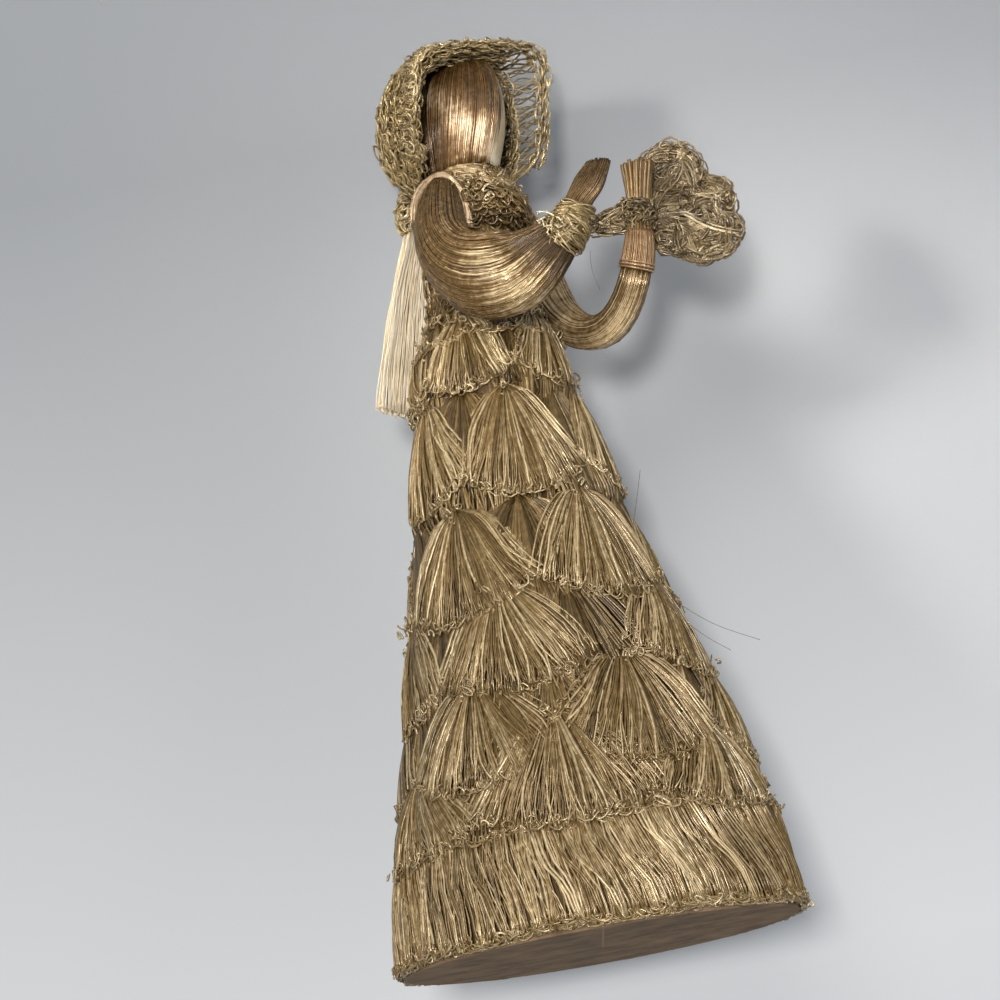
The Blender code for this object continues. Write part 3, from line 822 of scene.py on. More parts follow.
def board(name, dark, light):
    """Uncoated grey-brown board with pressed fibres, faint stains and a slit from its middle."""
    made, tree, output = new_material(name)
    place = add_node(tree, "ShaderNodeTexCoord")
    stain = add_node(tree, "ShaderNodeTexNoise", None, {
        "Vector": place.outputs["Object"], "Scale": 1.0 / STAIN_SIZE, "Detail": 6.0, "Roughness": 0.7})
    ramp = add_node(tree, "ShaderNodeValToRGB", None, {"Fac": stain.outputs["Fac"]})
    ramp.color_ramp.elements[0].position = 0.3
    ramp.color_ramp.elements[0].color = linear(dark)
    ramp.color_ramp.elements[1].position = 0.7
    ramp.color_ramp.elements[1].color = linear(light)
    pulp = add_node(tree, "ShaderNodeTexNoise", None, {
        "Vector": place.outputs["Object"], "Scale": 1.0 / PULP_SIZE, "Detail": 3.0})
    bump = add_node(tree, "ShaderNodeBump", None, {
        "Height": pulp.outputs["Fac"], "Strength": 0.4, "Distance": 0.1 * MM})
    seam_way = math.radians(SEAM_TURN)
    beside = add_node(tree, "ShaderNodeVectorMath", {"operation": "DOT_PRODUCT"}, {
        0: place.outputs["Object"], 1: (-math.sin(seam_way), math.cos(seam_way), 0.0)})
    apart = add_node(tree, "ShaderNodeMath", {"operation": "ABSOLUTE"}, {0: beside.outputs["Value"]})
    line = add_node(tree, "ShaderNodeMath", {"operation": "LESS_THAN"}, {
        0: apart.outputs[0], 1: SEAM_WIDTH / 2})
    out = add_node(tree, "ShaderNodeVectorMath", {"operation": "DOT_PRODUCT"}, {
        0: place.outputs["Object"], 1: (math.cos(seam_way), math.sin(seam_way), 0.0)})
    near = add_node(tree, "ShaderNodeMath", {"operation": "GREATER_THAN"}, {
        0: out.outputs["Value"], 1: 0.0})
    seam = add_node(tree, "ShaderNodeMath", {"operation": "MULTIPLY"}, {
        0: line.outputs[0], 1: near.outputs[0]})
    paint = add_node(tree, "ShaderNodeMix", {"data_type": "RGBA"}, {
        "Factor": seam.outputs[0], 6: ramp.outputs["Color"], 7: linear(light)})
    skin = add_node(tree, "ShaderNodeBsdfPrincipled", None, {
        "Base Color": paint.outputs[2], "Roughness": 0.92, "Normal": bump.outputs["Normal"]})
    tree.links.new(skin.outputs[0], output.inputs["Surface"])
    return made


tool = bmesh.new()
bmesh.ops.create_cone(tool, cap_ends=True, segments=120, radius1=card_radius,
                      radius2=card_radius, depth=card_high.z - card_low.z)
bmesh.ops.translate(tool, verts=tool.verts, vec=(card_low + card_high) / 2)
rims = [edge for edge in tool.edges if abs(edge.verts[0].co.z - edge.verts[1].co.z) < 1e-6]
bmesh.ops.bevel(tool, geom=rims, offset=CARD_BEVEL, affect="EDGES", segments=2, profile=0.5,
                material=-1)
PLAIN_BOARD = board("plain_board", "5c4935", "a38768")
finish_piece(from_bmesh("card_disc", tool), "base_card", PLAIN_BOARD)

# %% [markdown]
# Sleeves are combed hanks. The threads run from the shoulder to the hand along the length of
# the arm, so each one keeps its own turn round the section, and the hank gets its swell and
# its narrow wrist from the ring that the thread passes through.

# %% Form of the arms
# Middle of the hank, its half height and its half thickness at each station, in millimetres
RIGHT_ARM = [
    ((-16.5, -5.5, 216.5), 4.8, 5.0),
    ((-20.5, -7.0, 208.0), 6.4, 6.6),
    ((-24.5, -9.5, 197.5), 7.8, 7.6),
    ((-25.5, -14.5, 188.0), 9.8, 8.0),
    ((-24.0, -22.5, 181.5), 12.0, 8.0),
    ((-21.0, -32.0, 179.5), 11.6, 7.6),
    ((-18.0, -40.5, 182.5), 8.4, 6.4),
    ((-15.2, -47.5, 187.1), 4.4, 4.4),
    ((-13.4, -50.6, 193.4), 4.0, 3.2),
    ((-11.4, -54.4, 198.6), 4.8, 2.4),
    ((-9.3, -58.0, 204.2), 3.2, 1.6),
]
LEFT_ARM = [
    ((12.0, -4.5, 217.5), 4.6, 5.0),
    ((15.5, -6.0, 209.5), 6.4, 6.4),
    ((17.4, -6.5, 199.0), 7.4, 6.6),
    ((17.6, -9.5, 187.6), 6.8, 6.4),
    ((17.0, -14.5, 177.9), 5.8, 6.0),
    ((16.6, -22.0, 171.2), 4.9, 5.4),
    ((15.8, -31.0, 169.4), 4.6, 5.0),
    ((14.8, -39.6, 173.8), 4.3, 4.6),
    ((14.2, -46.6, 184.0), 3.9, 4.0),
    ((14.8, -49.6, 197.0), 2.7, 2.9),
    ((15.2, -52.0, 211.5), 4.6, 3.4),
]
RIGHT_CUFF_SPAN = (0.655, 0.775)
LEFT_CUFF_SPAN = (0.775, 0.855)


def arm_point(stations, place, turn, lift=0.0):
    """A point on a hank: place runs from the shoulder to the hand, turn goes round it."""
    def middle(where):
        return between([Vector(station[0]) for station in stations], where)
    centre = middle(place)
    height = between([station[1] for station in stations], place) + lift
    thickness = between([station[2] for station in stations], place) + lift
    along = (middle(min(place + 0.01, 1.0)) - middle(max(place - 0.01, 0.0))).normalized()
    outward = Vector((-1.0 if centre.x < 0.0 else 1.0, 0.0, 0.0))
    upward = along.cross(outward).normalized()
    outward = upward.cross(along).normalized()
    return (centre + upward * height * math.cos(turn) + outward * thickness * math.sin(turn)) * MM


print("right elbow at", [round(value / MM) for value in arm_point(RIGHT_ARM, 0.4, 0.0)])

# %% [markdown]
# Combed fibre shines in bands where its threads lie square to the light. A render of separate threads
# spreads that shine too evenly, so each thread's tone is raised along the bands that the real sleeves
# show, with a little scatter: a painted highlight. Painted shade darkens each thread towards both ends,
# and the right sleeve over a stretch before the wrist. Each hank has a closed core just under its
# threads.

# %% Arm hanks
HANK_STEPS = 20
CORE_SIDES = 24
CORE_RINGS = 30


def sleeve_painted_highlight(place, turn):
    """The painted highlight across the right sleeve, where combed fibre turns its side to the light,
    and the painted shade of the dull stretch towards the wrist."""
    along = place - 0.51 + 0.07 * (turn / 100.0) ** 2
    # The shadow term is painted shade on the stretch before the wrist.
    shadow = 0.3 * math.exp(-((along - 0.13) / 0.07) ** 2)
    return (0.65 * math.exp(-(along / 0.06) ** 2) - shadow) * (1.0 if -40.0 < turn < 118.0 else 0.0)


def left_arm_painted_highlight(place, turn):
    """The painted highlight along the near side of the left arm."""
    around = (turn + 150.0 + 180.0) % 360.0 - 180.0
    return 0.55 * math.exp(-((place - 0.64) / 0.09) ** 2 - (around / 45.0) ** 2)


def no_painted_highlight(place, turn):
    """No painted highlight of its own."""
    return 0.0


def arm_hank(name, node, stations, start, finish, number, radius, tone, look, mess=1.0,
             band=no_painted_highlight, cut=0.0):
    """Strands laid side by side along a stretch of an arm, over a core of the same form. The cut
    is how much shorter the hank is trimmed at its lower side than at its upper one."""
    strands = []
    for place in range(number):
        turn = 2 * math.pi * (place + draw.uniform(-0.3, 0.3)) / number
        phase, drift = any_turn(), draw.gauss(0.0, 0.05) * mess
        end = finish - draw.random() * 0.012 - cut * (1.0 - math.cos(turn)) / 2
        lift = draw.uniform(-0.14, 0.12) * mess
        shade, shift = draw.gauss(tone, 0.12), draw.gauss(0.0, 0.025)
        degrees = (math.degrees(turn) + 180.0) % 360.0 - 180.0
        points, tones = [], []
        for step in range(HANK_STEPS + 1):
            share = step / HANK_STEPS
            where = start + (end - start) * share
            points.append(arm_point(stations, where, turn + drift * math.sin(phase + 4 * share),
                                    lift + 0.06 * math.sin(phase + 9 * share)))
            # Painted shade: each thread darkens towards both of its ends.
            painted_end_shade = -0.24 + 0.26 * math.sin(math.pi * share ** 0.8) ** 2
            tones.append(shade + painted_end_shade + band(where + shift, degrees))
        strands.append((points, radius * draw.uniform(0.8, 1.2) * MM, tones))
    finish_piece(strand_mesh(name, strands), node, look)
    turns = [2 * math.pi * side / CORE_SIDES for side in range(CORE_SIDES)]
    ends = [finish - 0.01 - cut * (1.0 - math.cos(turn)) / 2 for turn in turns]
    rings = [[arm_point(stations, start + (end - start) * ring / CORE_RINGS, turn, -0.12)
              for turn, end in zip(turns, ends)] for ring in range(CORE_RINGS + 1)]
    finish_piece(core_body(name + "_core", rings), node, look)


arm_hank("right_sleeve", "right_arm", RIGHT_ARM, 0.0, 0.7, 330, 0.18, 0.36, COMBED_FIBRE,
         band=sleeve_painted_highlight)
arm_hank("right_hand", "right_arm", RIGHT_ARM, 0.7, 1.0, 90, 0.17, 0.34, COMBED_FIBRE,
         mess=0.4, cut=0.04)
arm_hank("left_sleeve", "left_arm", LEFT_ARM, 0.0, 0.79, 240, 0.18, 0.66, COMBED_FIBRE,
         band=left_arm_painted_highlight)
arm_hank("left_hand", "left_arm", LEFT_ARM, 0.84, 1.0, 20, 0.62, 0.5, STRAW_FIBRE)

# %% [markdown]
# At the near shoulder the hank folds over on itself, and the fold catches the light as a pale arch,
# which is painted as a light tone of its threads, a painted highlight. It is laid as a bundle of
# threads along one bent line, tucked in at both ends.

# %% Fold of the near sleeve
FOLD_THREADS = 60
FOLD_STEPS = 24
FOLD_TUCK = 2.6
SLEEVE_FOLD = [(-28.3, -3.6, 204.9), (-26.5, -4.2, 211.9), (-22.7, -5.6, 217.2), (-17.8, -8.3, 219.9),
               (-14.9, -10.3, 216.5), (-13.4, -11.3, 211.0), (-14.0, -11.3, 203.3)]
fold_line = [Vector(place) * MM for place in SLEEVE_FOLD]
fold_centre = Vector((-20.0, -8.0, 205.0)) * MM
strands = []
for thread in range(FOLD_THREADS):
    outward, forward = draw.uniform(-1.5, 1.1), draw.uniform(-0.3, 0.6)
    points = []
    for step in range(FOLD_STEPS + 1):
        share = step / FOLD_STEPS
        point = between(fold_line, share)
        tuck = FOLD_TUCK * abs(2 * share - 1) ** 3
        points.append(point + ((point - fold_centre).normalized() * outward
                               + CAMERA_BACK * (forward - tuck)) * MM)
    # The light tone is a painted highlight on the fold.
    strands.append((points, draw.uniform(0.16, 0.26) * MM, draw.gauss(0.75, 0.12)))
finish_piece(strand_mesh("sleeve_fold", strands), "right_arm", HEAD_FIBRE)

# %% [markdown]
# The head is one smooth hank folded over: a near half combed down from the crown, and a paler far half
# that shows as a narrow strip past the ridge. The far half's bleached fibre is partly its own paler
# colour and partly painted light on a side that faces away from the lamps. It has no face. The near
# half stands a little proud at the ridge, so that the overlap draws its own dark line, which a darker
# tone on the threads in the gap deepens as painted shade.

# %% Form of the head
HEAD_TURN = -10.0
HEAD_AXIS = (0.0, -2.5)
# Level, centre, half width across and half width along at each station, in millimetres
HEAD_LEVELS = [
    (226.3, 1.5, 9.4, 10.6),
    (231.0, 0.8, 10.6, 12.4),
    (237.0, -0.2, 11.8, 14.6),
    (243.0, -0.6, 12.4, 16.0),
    (249.0, -0.8, 12.3, 16.2),
    (253.3, -1.0, 11.4, 15.2),
    (256.6, -1.0, 9.6, 13.4),
    (259.0, -1.0, 6.8, 9.8),
    (260.2, -1.0, 2.6, 4.0),
]
HEAD_RIDGE = 277.0
RIDGE_PROUD = 2.0
COMB_SWEEP = 34.0


def turned(x, y, z):
    """A point of the head or the bonnet, turned about the neck, in metres."""
    way = math.radians(HEAD_TURN)
    east = HEAD_AXIS[0] + x * math.cos(way) - y * math.sin(way)
    north = HEAD_AXIS[1] + x * math.sin(way) + y * math.cos(way)
    return Vector((east, north, z)) * MM


def head_point(place, turn, lift=0.0):
    """A point on the head: place runs from the neck to the crown, turn in degrees."""
    level, centre, across, along = row_at(HEAD_LEVELS, place)
    way = math.radians(turn)
    return turned((across + lift) * math.cos(way), centre + (along + lift) * math.sin(way), level)


def combed_turn(turn, place):
    """Where a strand that reaches the crown at this turn lies lower down the head."""
    from_ridge = (turn - HEAD_RIDGE + 180.0) % 360.0 - 180.0
    if from_ridge > 0.0:
        return turn
    return turn - COMB_SWEEP * min(-from_ridge / 40.0, 1.0) * (1.0 - place) ** 1.3


print("crown at", round(head_point(1.0, 0.0).z / MM, 1))

# %% [markdown]
# The head's threads are sorted by how far they lie from the ridge: the near half rises towards it, a
# dark gap follows whose darker tone is painted shade, then comes the paler far half. A painted
# highlight crosses the near half aslant, a band of raised tone from high at its back to low at the
# ridge, as on the real head.

# %% Head hank
HEAD_STRANDS = 400
HEAD_STEPS = 16
HEAD_END = 0.94
FAR_HALF = 60.0
GAP_WIDTH = 3.0
# Where the painted highlight crosses the near half, how it slopes with the turn, and its width
PAINTED_HIGHLIGHT_PLACE = 0.61
PAINTED_HIGHLIGHT_TURN = 188.0
PAINTED_HIGHLIGHT_SLOPE = 0.0058
PAINTED_HIGHLIGHT_WIDTH = 0.12
strands, far_strands = [], []
for number in range(HEAD_STRANDS):
    turn = 360.0 * (number + draw.uniform(-0.3, 0.3)) / HEAD_STRANDS
    from_ridge = (turn - HEAD_RIDGE + 180.0) % 360.0 - 180.0
    proud, tone = 0.0, 0.1
    if 0.0 <= from_ridge < FAR_HALF:
        # The threads in the gap take a darker tone, a painted shade, and the far half's pale fibre is
        # partly painted light.
        proud, tone = (-1.1, -0.3) if from_ridge < GAP_WIDTH else (-0.4, -0.25)
    elif from_ridge < 0.0:
        proud = RIDGE_PROUD * max(1.0 + from_ridge / 16.0, 0.0)
    phase, lift = any_turn(), draw.uniform(-0.12, 0.1)
    shade = draw.gauss(tone, 0.11)
    highlight_place = PAINTED_HIGHLIGHT_PLACE - PAINTED_HIGHLIGHT_SLOPE * (turn - PAINTED_HIGHLIGHT_TURN) + draw.gauss(0.0, 0.025)
    points, tones = [], []
    for step in range(HEAD_STEPS + 1):
        place = HEAD_END * step / HEAD_STEPS
        points.append(head_point(place, combed_turn(turn, place) + 0.8 * math.sin(phase + 3 * place),
                                 lift + proud * math.sin(math.pi * place)))
        # A painted highlight: a band of raised tone across the near half.
        band = 0.6 * math.exp(-((place - highlight_place) / PAINTED_HIGHLIGHT_WIDTH) ** 2)
        tones.append(shade + band + 0.7 * max(0.4 - place, 0.0))
    half = far_strands if GAP_WIDTH <= from_ridge < FAR_HALF else strands
    half.append((points, draw.uniform(0.15, 0.2) * MM, tones))
finish_piece(strand_mesh("head_hank", strands), "head", HEAD_FIBRE)
finish_piece(strand_mesh("head_far_half", far_strands), "head", PALE_FIBRE)
rings = [[head_point(HEAD_END * ring / 16, 360.0 * side / 40, -0.15) for side in range(40)]
         for ring in range(17)]
finish_piece(core_body("head_core", rings), "head", HEAD_FIBRE)

# %% [markdown]
# The yoke is crocheted round the neck, with slanting threads laid over it that cross the chest.
# Rows of loops give the knotted ground, over a dark core that closes it, a painted shade between the
# loops.

# %% Collar
YOKE_ROWS = 11
YOKE_BANDS = 64
YOKE_LOOPS = 90
# Level, centre, half width across and half width along at each station, in millimetres
COLLAR_LEVELS = [
    (206.3, -0.4, 14.6, 14.4),
    (210.0, -1.5, 16.4, 15.6),
    (214.5, -2.4, 15.4, 14.6),
    (219.0, -2.6, 12.2, 12.4),
    (223.0, -2.0, 10.0, 10.6),
    (226.0, -1.2, 8.8, 9.6),
]


def collar_point(place, turn, lift=0.0):
    """A point on the yoke: place runs from its foot to the neck."""
    level, centre, across, along = row_at(COLLAR_LEVELS, place)
    way = math.radians(turn)
    east, north = (across + lift) * math.cos(way), centre + (along + lift) * math.sin(way)
    return Vector((east, north, level)) * MM


strands = []
for row in range(YOKE_ROWS):
    ring = [collar_point(0.03 + 0.09 * row, turn, 0.2) for turn in range(0, 364, 6)]
    strands += looped(ring, from_axis, (2.6, 3.8), (1.1, 1.7), (0.3, 0.4), (0.3, 0.15), 0.45, 2)
for band in range(YOKE_BANDS):
    slide, wave = draw.uniform(-0.16, 0.16), any_turn()
    first, reach = draw.uniform(178.0, 205.0), draw.uniform(110.0, 175.0)
    points = [collar_point(min(max(0.95 - 0.75 * step / 24 + slide, 0.0), 1.0),
                           first + reach * step / 24, 0.9 + 0.3 * math.sin(wave + step))
              for step in range(25)]
    strands.append((points, draw.uniform(0.22, 0.36) * MM, draw.gauss(0.48, 0.2)))
strands += loose_loops([collar_point(0.3 + 0.1 * row, turn, 0.8) for row in range(5)
                        for turn in range(180, 340, 10)], YOKE_LOOPS, 0.5)
finish_piece(strand_mesh("yoke_crochet", strands), "collar", DRESS_FIBRE)
# The dark core is painted shade between the loops.
rings = [[collar_point(ring / 8, 360.0 * side / 32, -0.5) for side in range(32)] for ring in range(9)]
finish_piece(core_body("yoke_core", rings), "collar", PAINTED_SHADE_FIBRE)

# %% [markdown]
# Above the first shells the bodice is plain crochet, in wavy rows of loops up to the yoke.

# %% Bodice crochet
BODICE_ROWS = 13
BODICE_LEVEL = 178.0
ROW_RISE = 2.2
strands = []
for row in range(BODICE_ROWS):
    level = BODICE_LEVEL + ROW_RISE * row
    ring = [on_dress(turn, min(level + math.sin(math.radians(turn * 3 + 40 * row)), BODICE_TOP_LEVEL),
                     0.2) for turn in range(0, 364, 5)]
    strands += looped(ring, from_axis, (2.6, 3.8), 1.5, 0.32, (0.45, 0.15), 0.4)
finish_piece(strand_mesh("bodice_crochet", strands), "dress", DRESS_FIBRE)

# %% [markdown]
# The bonnet is crocheted more openly. Its back and its near side are close enough to hide the
# head, while the far side of the brim is a ladder of bare threads between two chains, which the
# light comes through. The hood's form is the solid's own: rounded stations from back to rim.

# %% Form of the bonnet
# Place from back to front, level of the middle, half width, rise above, drop below, half turn
BONNET_STATIONS = [
    (24.0, 244.5, 5.0, 6.0, 6.0, 177.0),
    (21.0, 244.5, 12.6, 12.5, 14.0, 175.0),
    (14.5, 244.0, 18.2, 18.5, 20.0, 166.0),
    (6.0, 244.0, 20.8, 21.8, 25.0, 148.0),
    (-3.0, 244.0, 21.8, 20.6, 26.0, 138.0),
    (-10.5, 244.0, 22.8, 19.2, 25.0, 133.0),
    (-17.0, 244.0, 24.0, 18.2, 23.5, 130.0),
]
RIM_LEAN = 4.0
RIM_FLARE = 3.5
RIM_TILT = 5.0
NEAR_SWEEP = 2.3
NEAR_SWEEP_LOW = 12.0
BONNET_MIDDLE = turned(0.0, 0.0, 243.0)


def bonnet_point(place, side, lift=0.0):
    """A point of the hood: place runs from the back to the rim, side from -1 to 1."""
    back, middle, half_width, rise, drop, half_turn = row_at(BONNET_STATIONS, place)
    turn = math.radians(half_turn * side)
    upper = math.cos(turn) > 0.0
    power = 2.0 + 3.2 * place ** 2 if upper else 1.8 + 0.5 * place
    reach = (abs(math.sin(turn)) ** power + abs(math.cos(turn)) ** power) ** (-1.0 / power)
    across = math.sin(turn) * reach
    upward = math.cos(turn) * reach
    sweep = (NEAR_SWEEP + NEAR_SWEEP_LOW * max(-upward, 0.0)) * place ** 2 * max(-across, 0.0)
    lean = RIM_LEAN * place * (1.0 - upward) + sweep
    flare = RIM_FLARE * place * max(across, 0.0) * max(upward, 0.0)
    level = middle + ((rise if upper else drop) + lift) * upward
    level += RIM_TILT * place * across * max(upward, 0.0)
    return turned((half_width + lift) * across + flare, back + lean, level)


from_head = from_point(BONNET_MIDDLE)
print("bonnet top at", round(bonnet_point(0.5, 0.0).z / MM, 1))

# %% [markdown]
# Rows of loops run over the hood from side to side, in two or three layers. More rows fill the
# inside under the brim, and rings close the back, where the hood is drawn together.

# %% Bonnet crochet
LADDER_START = 0.66
LADDER_END = 0.9
LADDER_SIDE = 0.2
HOOD_ROWS = 27
INNER_ROWS = 7
# How far from the middle of the back each closing ring lies, as a share of the hood's own edge
BACK_RINGS = (0.15, 0.45, 0.75, 1.0)


def hood_row(place, lift, start=-1.0, finish=1.0):
    """Points along a row of the hood between two sides, over the top."""
    number = int(24 * (finish - start))
    return [bonnet_point(place, start + (finish - start) * step / number, lift)
            for step in range(number + 1)]


strands = []
for row in range(HOOD_ROWS):
    place = (row + 0.5) / HOOD_ROWS
    finish = 1.0 if place < LADDER_START else LADDER_SIDE
    for lift in (-0.3, -1.1) if place < 0.4 else (-0.3, -1.0, -2.2):
        strands += looped(hood_row(place, lift, -1.0, finish), from_head,
                          (2.8, 4.0), (1.3, 1.9), (0.26, 0.36), (0.45, 0.15), 0.45)
for row in range(INNER_ROWS):
    for layer in range(3):
        strands += looped(hood_row(0.5 + 0.06 * row, -3.0 - 0.5 * layer, -0.5, 0.26), from_head,
                          (2.8, 4.0), (1.2, 1.7), 0.3, (0.5, 0.15), 0.45)
back_ring = [bonnet_point(0.0, step / 12, -0.3) for step in range(-12, 13)]
back_middle = sum(back_ring, Vector()) / len(back_ring)
for share in BACK_RINGS:
    strands += looped([back_middle.lerp(point, share) for point in back_ring], from_head,
                      (2.6, 3.6), 1.5, 0.34, (0.5, 0.15), 0.45, 2)
finish_piece(strand_mesh("bonnet_crochet", strands), "bonnet", BONNET_FIBRE)

# %% [markdown]
# Two chains frame the ladder and two more make the rim. Each rung is three bare threads that
# lean a little and bow, because nothing holds them between the chains.

# %% Bonnet brim
RUNGS = 17
RUNG_STEPS = 8
strands = []
for place, start, layers in ((LADDER_START, LADDER_SIDE, 2), (LADDER_END, LADDER_SIDE, 2),
                             (0.94, -1.0, 3), (0.975, -1.0, 3)):
    for layer in range(layers):
        strands += looped(hood_row(place, -0.9 + 0.5 * layer, start), from_head,
                          (3.2, 4.6), (1.1, 1.6), (0.28, 0.38), (0.5, 0.15), 0.4)
for rung in range(RUNGS):
    side = LADDER_SIDE + (1.0 - LADDER_SIDE) * (rung + 0.5) / RUNGS
    for thread in range(3):
        start = side + draw.uniform(-0.012, 0.012) - 0.02
        slant = draw.uniform(0.03, 0.08)
        points = []
        for step in range(RUNG_STEPS + 1):
            share = step / RUNG_STEPS
            where = LADDER_START + (LADDER_END - LADDER_START) * share
            bow = 0.014 * math.sin(math.pi * share * 2 + thread * 2.1)
            points.append(bonnet_point(where, min(max(start + slant * share + bow, -1.0), 1.0), -0.6))
        strands.append((points, draw.uniform(0.24, 0.38) * MM, draw.gauss(0.55, 0.18)))
finish_piece(strand_mesh("bonnet_brim", strands), "bonnet", BONNET_FIBRE)

# %% [markdown]
# Seen from outside, the hood is dark between its stitches. A thin lining under them gives that dark as
# a painted shade, at the back all round and further forward on the near side alone, so that the ladder
# stays open.

# %% Bonnet lining
LINING_END = 0.6
LINING_DEPTHS = (-1.5, -2.0)


def lining_ring(place, finish=1.0):
    """Outer points of the lining one way and inner points back, as one closed ring."""
    sides = [-1.0 + (1.0 + finish) * step / 24 for step in range(25)]
    outer = [bonnet_point(place, side, LINING_DEPTHS[0]) for side in sides]
    inner = [bonnet_point(place, side, LINING_DEPTHS[1]) for side in reversed(sides)]
    return outer + inner


# The lining's dark fibre is painted shade.
back_rings = [lining_ring(LINING_END * ring / 10) for ring in range(11)]
finish_piece(core_body("bonnet_lining", back_rings), "bonnet", PAINTED_SHADE_FIBRE)
front_rings = [lining_ring(LINING_END + 0.33 * ring / 5, LADDER_SIDE - 0.05) for ring in range(6)]
finish_piece(core_body("bonnet_front_lining", front_rings), "bonnet", PAINTED_SHADE_FIBRE)

# %% [markdown]
# The hood is gathered in a knot at the nape. Looped rings of an egg shape give its rough ball.

# %% Nape knot
KNOT_CENTRE = Vector((0.0, 21.0, 223.0))
KNOT_HALF_SIZES = Vector((5.6, 4.6, 8.0))
KNOT_RINGS = 8
KNOT_STEPS = 20
from_knot = from_point(KNOT_CENTRE * MM)
strands = []
for ring in range(KNOT_RINGS + 1):
    share = -0.9 + 1.8 * ring / KNOT_RINGS
    wide = math.sqrt(1.0 - share * share)
    points = []
    for step in range(KNOT_STEPS + 1):
        turn = 2 * math.pi * step / KNOT_STEPS
        points.append((KNOT_CENTRE + Vector((KNOT_HALF_SIZES.x * wide * math.cos(turn),
                                             KNOT_HALF_SIZES.y * wide * math.sin(turn),
                                             KNOT_HALF_SIZES.z * share))) * MM)
    strands += looped(points, from_knot, 3.0, 1.4, 0.35, (0.55, 0.14), layers=2)
finish_piece(strand_mesh("nape_knot", strands), "bonnet", BONNET_FIBRE)

# %% [markdown]
# The veil is a flat hank of bleached fibre that hangs from the knot. Its threads are straight
# and spread towards a rolled hem, so they are laid as two flat layers between two outlines.

# %% Veil
VEIL_TOP = (19.0, 214.7, 8.5)
VEIL_FOOT = (34.0, 163.5, 16.5)
VEIL_THICKNESS = 2.4
VEIL_STRANDS = 115
VEIL_STEPS = 14


def veil_point(share, across, layer):
    """A point of the hank: across runs from -1 to 1, layer from -1 at its front to 1."""
    back, level, half_width = [VEIL_TOP[value] + (VEIL_FOOT[value] - VEIL_TOP[value]) * share
                               for value in range(3)]
    away = back + 1.5 * math.sin(math.pi * share) - 1.2 * across * across
    return Vector((half_width * across, away + layer * VEIL_THICKNESS / 2, level)) * MM


strands = []
for layer in (-0.8, 0.8):
    for number in range(VEIL_STRANDS):
        across = 2 * (number + draw.uniform(0.1, 0.9)) / VEIL_STRANDS - 1
        phase, sway = any_turn(), draw.uniform(0.0, 0.05)
        points = [veil_point(step / VEIL_STEPS, across + sway * math.sin(phase + 4 * step / VEIL_STEPS),
                             layer + 0.3 * math.sin(phase + step)) for step in range(VEIL_STEPS + 1)]
        strands.append((points, draw.uniform(0.16, 0.26) * MM, draw.gauss(0.7, 0.14)))
hem_line = [veil_point(1.0, across / 10, 0.0) for across in range(-10, 11)]
strands += looped(hem_line, from_axis, (2.4, 3.4), 1.0, 0.35, 0.6, layers=3)
finish_piece(strand_mesh("veil_hank", strands), "veil", PALE_FIBRE)
rings = []
for ring in range(9):
    edge = [veil_point(ring / 8, across / 8 * 0.97, -0.45) for across in range(-8, 9)]
    edge += [veil_point(ring / 8, across / 8 * 0.97, 0.45) for across in range(8, -9, -1)]
    rings.append(edge)
finish_piece(core_body("veil_core", rings), "veil", PALE_FIBRE)

# %% [markdown]
# The right cuff is a coarse band of threads wound round the wrist at all angles, with a knot of
# loops on its near side. The winds cross and slip, so each gets its own tilt, start and lift.

# %% Right cuff
CUFF_WINDS = 120
CUFF_LOOPS = 46


def arm_middle(stations, place):
    """The middle of a hank at one place."""
    return (arm_point(stations, place, 0.0) + arm_point(stations, place, math.pi)) / 2


strands = []
for wind in range(CUFF_WINDS):
    place = RIGHT_CUFF_SPAN[0] + (RIGHT_CUFF_SPAN[1] - RIGHT_CUFF_SPAN[0]) * draw.uniform(0.1, 0.9)
    start, phase = draw.uniform(0.0, 360.0), any_turn()
    tilt, lift = draw.uniform(-0.03, 0.03), draw.uniform(0.0, 1.4)
    points = [arm_point(RIGHT_ARM, place + tilt * math.sin(math.radians(turn)),
                        math.radians(start + turn),
                        lift + 0.7 * math.sin(phase + math.radians(3 * turn)))
              for turn in range(0, 330, 15)]
    strands.append((points, draw.uniform(0.18, 0.34) * MM, draw.gauss(0.42, 0.2)))
wrist = arm_middle(RIGHT_ARM, 0.67)
knot = wrist + (CAMERA_BACK * 4.2 - CAMERA_RIGHT * 1.5 + CAMERA_UP * 1.5) * MM
strands += loose_loops([wrist, knot, knot], CUFF_LOOPS, 1.4, 1.7)
finish_piece(strand_mesh("right_cuff_crochet", strands), "right_cuff", BONNET_FIBRE)

# %% [markdown]
# The left wrist has a smooth tan wrap whose threads run along the arm, bound at its lower end by
# three turns.

# %% Left cuff
WRAP_STRANDS = 64


def wrist_ring(stations, place, lift):
    """Points round an arm at one place, a little more than once round."""
    return [arm_point(stations, place, math.radians(turn), lift) for turn in range(0, 375, 15)]


strands = []
for number in range(WRAP_STRANDS):
    turn = 2 * math.pi * (number + draw.uniform(-0.3, 0.3)) / WRAP_STRANDS
    places = [LEFT_CUFF_SPAN[0] + (LEFT_CUFF_SPAN[1] - LEFT_CUFF_SPAN[0]) * step / 12
              for step in range(13)]
    points = [arm_point(LEFT_ARM, place, turn, 0.6 + draw.uniform(-0.05, 0.05)) for place in places]
    strands.append((points, 0.26 * MM, draw.gauss(0.5, 0.14)))
for wind in range(3):
    ring = wrist_ring(LEFT_ARM, LEFT_CUFF_SPAN[0] + 0.006 * wind, 1.0)
    strands.append((ring, 0.3 * MM, 0.75))
finish_piece(strand_mesh("left_cuff_wrap", strands), "left_cuff", WRAP_FIBRE)

